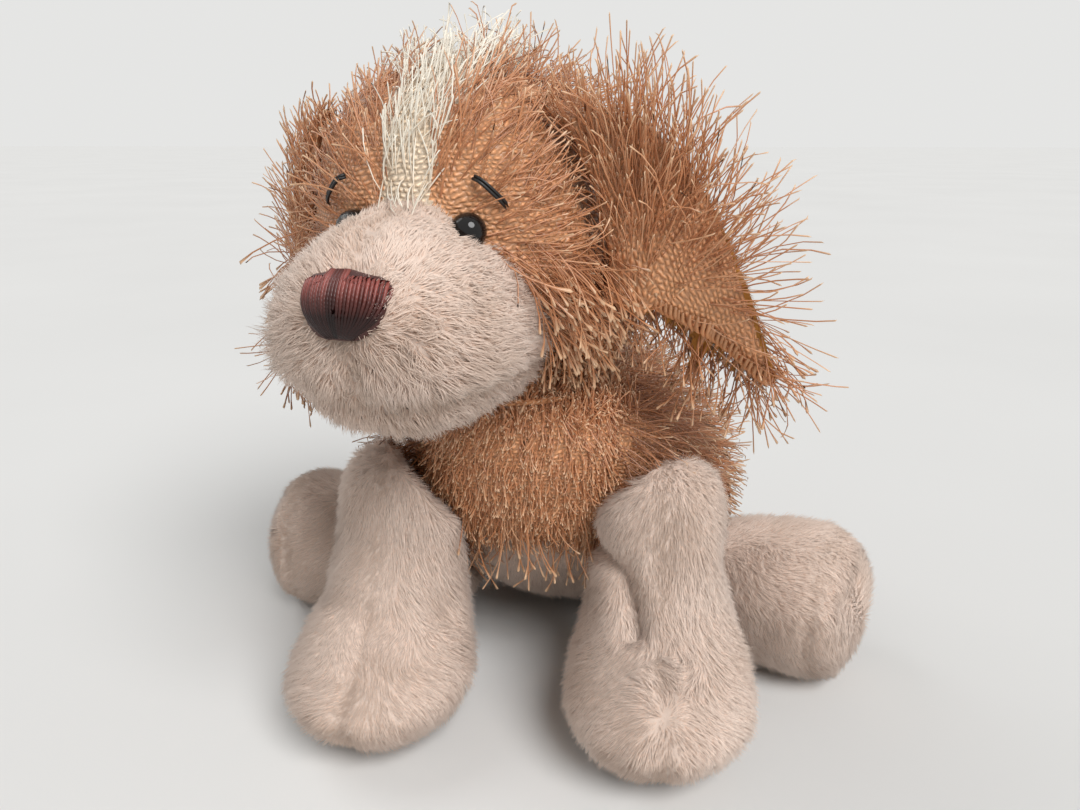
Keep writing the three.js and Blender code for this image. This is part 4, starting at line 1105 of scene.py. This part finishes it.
class SPANIEL_OT_legs(StepOperator, bpy.types.Operator):
    """Four stuffed plush legs with their seams"""

    bl_idname = "spaniel.legs"
    bl_label = "Legs"
    groove = 1.1 * MM
    groove_spread = 1.6 * MM

    def build(self):
        for side in SIDES:
            self.leg(f"front_leg_{side}", [f"front_leg_outer_{side}", f"front_leg_inner_{side}"],
                     f"front_leg_stuffing_{side}")
            self.leg(f"hind_leg_{side}", [f"hind_leg_cover_{side}", f"hind_sole_{side}"],
                     f"hind_leg_stuffing_{side}")

    def leg(self, body, panels, filling):
        _, sizes = settings()
        form = stuffed(f"{body}_form", panels + [filling], sizes.voxel)
        for line, depth, width in FOLDS.get(body, ()):
            crease(form, np.array(line) * MM, depth * MM, width * MM)
        cream = cloth("cream_backing")
        lay_panels(form, panels, [cream, cream], self.paw_groove, self.groove_spread)
        dress(form, body, panels + [filling])

    def paw_groove(self, places):
        """Seams show on the paws and fade above them and under them."""
        high = places[:, 2]
        below = np.clip((44 * MM - high) / (14 * MM), 0.1, 1)
        return self.groove * below * rise(high, 5 * MM, 9 * MM)


class SPANIEL_OT_tail(StepOperator, bpy.types.Operator):
    """Short stuffed tail"""

    bl_idname = "spaniel.tail"
    bl_label = "Tail"

    def build(self):
        _, sizes = settings()
        nodes = ["tail_cover", "tail_stuffing"]
        form = stuffed("tail_form", nodes, sizes.tail_voxel, cap=1 * MM)
        lay_panels(form, nodes[:1], [cloth("tan_knit")])
        places = coords(form)
        store_weave(form, places[:, 0] + places[:, 2], places[:, 1])
        dress(form, "tail", nodes)


EDGE_STOPS = np.linspace(0.16, 0.97, 22)  # shares of an ear's reach at which its edge is found
EDGE_BAND = 2.2 * MM  # as the mean of the lowest points within this band
EDGE_COUNT = 6


def ear_edge(side, places):
    """Points along the ear's lower edge, from near its seam to its tip."""
    root, down = ear_frame(side)
    local = places - root
    low = local @ down
    away = off_axis(local, down)
    edge = []
    for stop in EDGE_STOPS * away.max():
        near = np.abs(away - stop) < EDGE_BAND
        lowest = np.argsort(low[near])[-EDGE_COUNT:]
        edge.append(places[near][lowest].mean(axis=0))
    edge = np.array(edge)
    edge[1:-1] = (edge[:-2] + edge[1:-1] + edge[2:]) / 3
    return edge


class SPANIEL_OT_ears(StepOperator, bpy.types.Operator):
    """Two ear flaps, knitted in front and lined with plush"""

    bl_idname = "spaniel.ears"
    bl_label = "Ears"
    sag = 15 * MM  # of the lining below the hem
    stitch = 1.5 * MM  # from one stitch of the hem to the next
    hem_thread = 0.62 * MM
    hem_radius = 1.5  # this and the next two in millimetres
    hem_flare = 1.6  # for each radian past half of the turn
    hem_slant = 1.3  # for each radian
    hem_turn = 2.4  # radians that a stitch goes round the edge to each side

    def build(self):
        _, sizes = settings()
        for side in SIDES:
            nodes = [f"ear_outer_{side}", f"ear_lining_{side}"]
            form = stuffed(f"ear_{side}_form", nodes, sizes.ear_voxel, pressure=1.5, cap=0.0008)
            lay_panels(form, nodes, [cloth("tan_knit"), cloth("ochre_backing")], 0.0)
            axis = axis_of(f"ear_{side}_flap")
            local = coords(form) - pivot_of(f"ear_{side}_flap")
            store_weave(form, local @ axis, off_axis(local, axis))
            EAR_EDGES[side] = ear_edge(side, coords(form))
            self.lip(form, side)
            dress(form, f"ear_{side}", nodes)
            self.hem(side, coords(form).mean(axis=0))

    def lip(self, form, side):
        """Lets the lining sag below the rolled edge, behind it."""
        places, edge = coords(form), EAR_EDGES[side]
        lining, outer = (node_points(f"ear_{layer}_{side}").mean(axis=0) for layer in ("lining", "outer"))
        back = unit(lining - outer)
        away = gaps_to(edge, places)
        nearest = away.argmin(axis=1)
        depth = rise(np.sum((places - edge[nearest]) * back, axis=1), 0, 1.5 * MM)
        middle = np.sin(np.pi * np.linspace(0.12, 0.9, len(edge)))[nearest]
        share = depth * middle * bell(away.min(axis=1), 11 * MM)
        set_coords(form, places + self.sag * share[:, None] * unit(0.4 * back - UP))
        smooth(form, 3)

    def hem(self, side, centre):
        """The rolled lower edge: slanted stitches wrapped round it, with their ends tucked in."""
        edge = EAR_EDGES[side]
        run = run_of(edge)
        spots = np.arange(0, run[-1], self.stitch)
        line = np.stack([np.interp(spots, run, edge[:, k]) for k in range(3)], axis=1)
        ahead = unit(np.gradient(line, axis=0))
        rim = along_surface(line - centre, ahead)
        face = np.cross(ahead, rim)
        turn = np.linspace(-self.hem_turn, self.hem_turn, 9)[:, None]
        past = np.maximum(np.abs(turn) - self.hem_turn / 2, 0)
        reach = self.hem_radius + self.hem_flare * past
        paths = []
        for k, spot in enumerate(line):
            ring = np.cos(turn) * rim[k] + np.sin(turn) * face[k]
            paths.append(spot + (ring * reach + self.hem_slant * turn * ahead[k]) * MM)
        tints = np.tile([0.4, 0.6, 0.5], len(paths))[: len(paths)]
        profile = [0.7, 1, 1, 1, 1, 1, 1, 0.8]
        made = strands(f"ear_{side}_hem", np.array(paths), self.hem_thread, profile, 6, tints,
                       cloth("hem_yarn"))
        dress(made, f"ear_{side}")


class SPANIEL_OT_pile(StepOperator, bpy.types.Operator):
    """Short cream and ochre plush pile"""

    bl_idname = "spaniel.pile"
    bl_label = "Plush pile"

    def build(self):
        nose = node_points("nose").mean(axis=0)
        for index, panel in enumerate(HEAD_PANELS[MUZZLE:]):
            self.piece(panel, "head", "head", [MUZZLE + index], flow=away_from(nose), density=3.6,
                       seed=1 + index, size=muzzle_length, lean=1.05, style=CURLED)
        self.piece("belly", "torso", "body", [BELLY], flow=hanging, density=3.0, seed=5)
        for index, side in enumerate(SIDES):
            leg = f"front_leg_{side}"
            self.piece(leg, leg, leg, [0, 1], flow=leg_flow(f"{leg}_swing"), density=3.9, seed=10 + index)
            leg = f"hind_leg_{side}"
            self.piece(leg, leg, leg, [0, 1], flow=hind_flow(f"{leg}_swing", side), density=3.1,
                       seed=20 + index)
            ear = f"ear_{side}"
            self.piece(f"{ear}_lining", ear, ear, [EAR_LINING], "ochre_plush",
                       flow=away_from(pivot_of(f"{ear}_flap")), density=2.0, seed=30 + index,
                       cloth_name="ochre_pile", size=even(0.7))

    def piece(self, name, body, form, panels, slot="cream_plush", **looks):
        """The pile on some panels of a form, which rides on a body."""
        made = plush_pile(f"{name}_pile", bpy.data.objects[f"{form}_form"], panels, **looks)
        dress(made, body)


class SPANIEL_OT_shag(StepOperator, bpy.types.Operator):
    """Long yarn ends on the head, ears, body and tail"""

    bl_idname = "spaniel.shag"
    bl_label = "Yarn shag"

    def build(self):
        for index, side in enumerate(SIDES):
            self.head_side(index, side)
            # pale=-0.4: the body's yarn ends are darkened as painted shade under the head and ears.
            self.piece(f"body_shag_{side}", "torso", "body", [index], [f"body_yarn_{side}"], flow=body_flow,
                       density=0.3, seed=50 + index, lean=0.8, droop=0.05, size=body_size, pale=-0.4)
            self.ear(index, side)
        self.stripe()
        self.torso()
        self.piece("tail_shag", "tail", "tail", [0], flow=away_from(pivot_of("tail_wag")), density=0.45,
                   seed=72, lean=0.8, droop=0.04, size=even(0.7))

    def piece(self, name, body, form, panels, nodes=(), slot="tan_shag", **looks):
        """The yarn ends on some panels of a form, which ride on a body and may stand for a CAD coat."""
        made = yarn_shag(name, bpy.data.objects[f"{form}_form"], panels, **looks)
        dress(made, body, nodes)

    def head_side(self, index, side):
        self.piece(f"head_shag_{side}", "head", "head", [index], [f"head_yarn_{side}"], flow=head_flow,
                   density=0.5, seed=40 + index, lean=face_lean, size=yarn_size, keep=yarn_kept, gather=0.15,
                   hug=0.14)
        self.piece(f"cheek_fringe_{side}", "head", "head", [index], flow=cheek_flow, density=0.5,
                   seed=45 + index, lean=0.8, droop=0.12, size=even(0.95), keep=cheek, pale=0.05,
                   profile=FRAYED_PROFILE, gather=0.12)
        # pale=-0.15: painted shade on the nape fringe behind the ears.
        self.piece(f"nape_fringe_{side}", "head", "head", [index], flow=hanging, density=0.6,
                   seed=47 + index, lean=0.9, droop=0.08, size=even(1.15), keep=nape, pale=-0.15,
                   gather=0.12)

    def ear(self, index, side):
        ear = f"ear_{side}"
        self.piece(f"{ear}_shag", ear, ear, [EAR_OUTER], [f"ear_yarn_{side}"], flow=ear_flow(side),
                   density=0.5, seed=60 + index, lean=1.35, droop=-0.03, size=ear_size(side),
                   keep=ear_kept(side), pale=0.15, gather=0.15, hug=0.05)
        # pale=-0.1: painted shade on the fringe that hangs behind the ear's lower edge.
        self.piece(f"{ear}_fringe", ear, ear, [EAR_LINING], flow=hanging, density=0.5, seed=64 + index,
                   lean=1.0, droop=0.1, size=even(0.8), keep=hem_back(side), pale=-0.1,
                   profile=FRAYED_PROFILE, gather=0.1, soft=0.0)

    def stripe(self):
        self.piece("blaze_shag", "head", "head", [STRIPE], ["blaze_yarn"], "cream_shag",
                   cloth_name="blaze_shag", flow=head_flow, density=0.45, seed=70, lean=face_lean,
                   size=yarn_size, keep=yarn_kept)
        self.piece("blaze_edge_shag", "head", "head", [STRIPE], flow=head_flow, density=0.45, seed=75,
                   lean=face_lean, size=yarn_size, keep=blaze_edge, gather=0.15, hug=0.14)
        self.piece("blaze_wisps", "head", "head", [STRIPE], (), "cream_shag", cloth_name="blaze_shag",
                   flow=forwards, density=0.5, seed=74, lean=1.15, droop=0.1, size=even(0.75),
                   keep=blaze_foot)

    def torso(self):
        self.piece("chest_shag", "torso", "body", [CHEST], flow=hanging, density=0.6, seed=71, lean=1.15,
                   droop=0.05, size=even(0.3), pale=0.15)
        self.piece("chest_fringe", "torso", "body", [CHEST], flow=hanging, density=0.25, seed=73, lean=1.1,
                   droop=0.05, size=even(0.85), keep=chest_edge, pale=0.2, profile=FRAYED_PROFILE,
                   gather=0.1)
        self.piece("neck_fringe", "torso", "body", [0, 1, CHEST], flow=upwards, density=0.7, seed=76,
                   lean=0.8, size=even(0.42), keep=neck_edge)


class SPANIEL_OT_nose(StepOperator, bpy.types.Operator):
    """Stitched nose: satin threads over a padded dome"""

    bl_idname = "spaniel.nose"
    bl_label = "Nose"
    threads = 27
    steps = 14
    tints = (0.4, 0.95, 0.6, 0.85)
    # The three middle threads are nearly black: painted shade in the crease down the middle of the nose.
    crease_shade_tint = 0.05  # of the three threads in the middle
    outside = 30 * MM  # a thread is laid on the dome from this far in front
    lift = 0.1 * MM

    def build(self):
        _, sizes = settings()
        pad = copy_nodes("nose_pad", ["nose"])
        remesh(pad, sizes.nose_voxel)
        smooth(pad, 6)
        subdivide(pad)
        shade_smooth(pad)
        # The pad's dark colour is painted shade in the gaps between the threads.
        pad.data.materials.append(cloth("nose_pad"))
        dress(pad, "head", ["nose"])
        tree = BVHTree.FromObject(pad, bpy.context.evaluated_depsgraph_get())
        shares = 2 * (np.arange(self.threads) + 0.5) / self.threads - 1
        paths = np.array([self.thread(tree, coords(pad), share) for share in shares])
        tints = np.tile(self.tints, self.threads)[: self.threads]
        middle = self.threads // 2
        tints[middle - 2: middle + 1] = self.crease_shade_tint
        stitches = strands("nose_stitches", paths, sizes.nose_thread, [1.0], 6, tints, cloth("nose_thread"))
        dress(stitches, "head")

    def thread(self, tree, places, share):
        """One stitch from the top edge, converging with the outline on the point below."""
        middle = (places.min(axis=0) + places.max(axis=0)) / 2
        local = places - middle
        across = np.abs(local @ HEAD_X)
        high = 0.98 * np.abs(local[:, 2]).max()
        top = high * (1 - 0.3 * abs(share) ** 3)
        points = []
        for z in np.linspace(top, -high, self.steps + 1):
            width = across[np.abs(local[:, 2] - z) < 1.6 * MM].max()
            below = np.clip((0.4 * high - z) / (1.4 * high), 0, 1)
            x = 0.97 * share * width * (1 - 0.75 * below ** 2.2)
            points.append(self.laid(tree, middle + x * HEAD_X + z * UP))
        return points

    def laid(self, tree, place):
        """The point on the dome in front of a place, or the nearest where nothing is in front."""
        hit, normal, _, _ = tree.ray_cast(Vector(place - self.outside * HEAD_Y), Vector(HEAD_Y))
        if hit is None:
            hit, normal, _, _ = tree.find_nearest(Vector(place - 4 * MM * HEAD_Y))
        return np.array(hit + normal * self.lift)


class SPANIEL_OT_eyes(StepOperator, bpy.types.Operator):
    """Black domed eyes, brow stitches and the washers behind the eyes"""

    bl_idname = "spaniel.eyes"
    bl_label = "Eyes and brows"
    rim = 0.8 * MM  # the dome goes on this far behind its widest
    brow_gap = 0.4125  # from the middle of a brow to each of its two stitches, in millimetres
    brow_steps = 9

    def build(self):
        for side in SIDES:
            self.eye(side)
            self.brow(side)
            washer = frame["nodes"][f"eye_washer_{side}"]
            washer.data.materials.clear()
            washer.data.materials.append(cloth("washer_plastic"))

    def eye(self, side):
        _, sizes = settings()
        points = node_points(f"eye_{side}")
        back = node_points(f"eye_washer_{side}").mean(axis=0)
        axis = unit(points.mean(axis=0) - back)
        reach = ((points - back) @ axis).max()
        turn = Vector(UP).rotation_difference(Vector(axis)).to_matrix().to_4x4()
        bpy.ops.object.select_all(action="DESELECT")
        bpy.ops.mesh.primitive_uv_sphere_add(calc_uvs=False, segments=40, ring_count=24, radius=sizes.eye)
        dome = bpy.context.view_layer.objects.active
        dome.name = f"eye_{side}_dome"
        bpy.ops.object.mode_set(mode="EDIT")
        bpy.ops.mesh.select_all(action="SELECT")
        bpy.ops.mesh.bisect(plane_co=(0, 0, -self.rim), plane_no=(0, 0, 1), clear_inner=True, use_fill=True)
        bpy.ops.object.mode_set(mode="OBJECT")
        dome.data.transform(Matrix.Translation(Vector(back + axis * (reach - sizes.eye))) @ turn)
        pick(dome)
        bpy.ops.object.shade_smooth_by_angle(angle=math.radians(40))
        dome.data.materials.append(cloth("eye_plastic"))
        dress(dome, "head", [f"eye_{side}"])

    def brow(self, side):
        """Two stitches side by side, which dip into the cloth at their ends."""
        _, sizes = settings()
        points = node_points(f"brow_{side}")
        middle = points.mean(axis=0)
        _, _, axes = np.linalg.svd(points - middle)
        run = axes[0]
        face = unit(middle - (HEAD_CENTRE - 5 * MM * UP))
        across = unit(np.cross(run, face))
        reach = np.abs((points - middle) @ run).max()
        bow = np.linspace(-1, 1, self.brow_steps)[:, None]
        lift = 0.7625 - 1.9 * np.abs(bow) ** 4
        paths = []
        for gap in (-self.brow_gap, self.brow_gap):
            paths.append(middle + run * reach * bow + (across * gap + face * lift) * MM)
        made = strands(f"brow_{side}_stitches", np.array(paths), sizes.brow_thread, [1.0], 6,
                       np.full(2, 0.5), cloth("black_thread"))
        dress(made, "head", [f"brow_{side}"])


class SPANIEL_OT_neck(StepOperator, bpy.types.Operator):
    """Twisted thread that draws the neck seam together"""

    bl_idname = "spaniel.neck"
    bl_label = "Neck thread"
    plies = 3
    twists = 30
    steps = 160
    thread = 1.2 * MM  # radius of the CAD thread

    def build(self):
        _, sizes = settings()
        points = node_points("neck_seam")
        low, high = points.min(axis=0), points.max(axis=0)
        middle = (low + high) / 2
        radius = (high - low)[0] / 2 - self.thread
        turn = np.linspace(0, 2 * np.pi, self.steps + 1)
        out = np.stack([np.cos(turn), np.sin(turn), 0 * turn], axis=1)
        paths = []
        for ply in range(self.plies):
            twist = self.twists * turn + 2 * np.pi * ply / self.plies
            ring = out * (radius + sizes.neck_ply * np.cos(twist))[:, None]
            paths.append(middle + ring + UP * (sizes.neck_ply * np.sin(twist))[:, None])
        made = strands("neck_thread", np.array(paths), sizes.neck_ply, [1.0], 5, np.full(self.plies, 0.5),
                       cloth("seam_thread"))
        dress(made, "neck", ["neck_seam"])


class SPANIEL_OT_stage(StepOperator, bpy.types.Operator):
    """Pale floor, soft light and the camera"""

    bl_idname = "spaniel.stage"
    bl_label = "Stage"
    floor_size = 40  # metres
    floor_dark = (0.74, 0.74, 0.73)
    floor_pale = (0.78, 0.78, 0.77)
    sky = (1.0, 0.99, 0.97, 1)
    sky_strength = 0.3
    backdrop = (0.785, 0.785, 0.775, 1)
    sun_spread = 35  # degrees

    def build(self):
        scene = bpy.context.scene
        scene.view_settings.view_transform = "Standard"
        self.floor()
        self.world(scene)
        self.sun("key_light", (0.55, -0.6, 0.82), 2.55)
        self.sun("back_light", (-0.7, 0.2, 0.8), 0.6)
        camera = bpy.data.cameras.new("view")
        camera.lens = VIEW_LENS
        camera.clip_start = 10 * MM
        viewer = bpy.data.objects.new("view", camera)
        viewer.location = VIEW_PLACE
        viewer.rotation_euler = [math.radians(angle) for angle in VIEW_TURN]
        scene.collection.objects.link(viewer)
        scene.camera = viewer

    def floor(self):
        bpy.ops.object.select_all(action="DESELECT")
        bpy.ops.mesh.primitive_plane_add(size=self.floor_size)
        floor = bpy.context.view_layer.objects.active
        floor.name = "floor"
        kit = Nodes("floor")
        shade = kit.ramp(kit.noise(3.0), (0.2, self.floor_dark), (0.8, self.floor_pale))
        floor.data.materials.append(kit.finish(shade, roughness=1.0, specular=0.0))

    def world(self, scene):
        """Soft light all round; the camera, gloss and glass see the backdrop's plain colour instead."""
        world = bpy.data.worlds.new("studio")
        world.use_nodes = True
        tree = world.node_tree
        light = tree.nodes["Background"]
        light.inputs["Color"].default_value = self.sky
        light.inputs["Strength"].default_value = self.sky_strength
        shown = tree.nodes.new("ShaderNodeBackground")
        shown.inputs["Color"].default_value = self.backdrop
        path = tree.nodes.new("ShaderNodeLightPath")
        mix = tree.nodes.new("ShaderNodeMixShader")
        seen = path.outputs["Is Camera Ray"]
        for kind in ("Is Glossy Ray", "Is Transmission Ray"):
            either = tree.nodes.new("ShaderNodeMath")
            either.operation = "MAXIMUM"
            tree.links.new(seen, either.inputs[0])
            tree.links.new(path.outputs[kind], either.inputs[1])
            seen = either.outputs[0]
        tree.links.new(seen, mix.inputs[0])
        tree.links.new(light.outputs[0], mix.inputs[1])
        tree.links.new(shown.outputs[0], mix.inputs[2])
        tree.links.new(mix.outputs[0], tree.nodes["World Output"].inputs[0])
        scene.world = world

    def sun(self, name, place, strength):
        light = bpy.data.lights.new(name, "SUN")
        light.energy = strength
        light.angle = math.radians(self.sun_spread)
        lamp = bpy.data.objects.new(name, light)
        lamp.location = place
        lamp.rotation_euler = (-Vector(place)).to_track_quat("-Z", "Y").to_euler()
        bpy.context.scene.collection.objects.link(lamp)


STEPS = (
    SPANIEL_OT_body,
    SPANIEL_OT_head,
    SPANIEL_OT_legs,
    SPANIEL_OT_tail,
    SPANIEL_OT_ears,
    SPANIEL_OT_pile,
    SPANIEL_OT_shag,
    SPANIEL_OT_nose,
    SPANIEL_OT_eyes,
    SPANIEL_OT_neck,
    SPANIEL_OT_stage,
)


class SPANIEL_PT_panel(bpy.types.Panel):
    """Lists the building steps."""

    bl_idname = "SPANIEL_PT_panel"
    bl_label = "Plush spaniel"
    bl_space_type = "VIEW_3D"
    bl_region_type = "UI"
    bl_category = "Spaniel"

    def draw(self, context):
        for step in STEPS:
            self.layout.operator(step.bl_idname)


CLASSES = (SpanielColours, SpanielSizes, *STEPS, SPANIEL_PT_panel)


def register():
    for item in CLASSES:
        bpy.utils.register_class(item)
    bpy.types.Scene.spaniel_colours = PointerProperty(type=SpanielColours)
    bpy.types.Scene.spaniel_sizes = PointerProperty(type=SpanielSizes)


def unregister():
    del bpy.types.Scene.spaniel_sizes
    del bpy.types.Scene.spaniel_colours
    for item in reversed(CLASSES):
        bpy.utils.unregister_class(item)


def main():
    register()
    for step in STEPS:
        group, name = step.bl_idname.split(".")
        getattr(getattr(bpy.ops, group), name)()


if __name__ == "__main__":
    main()
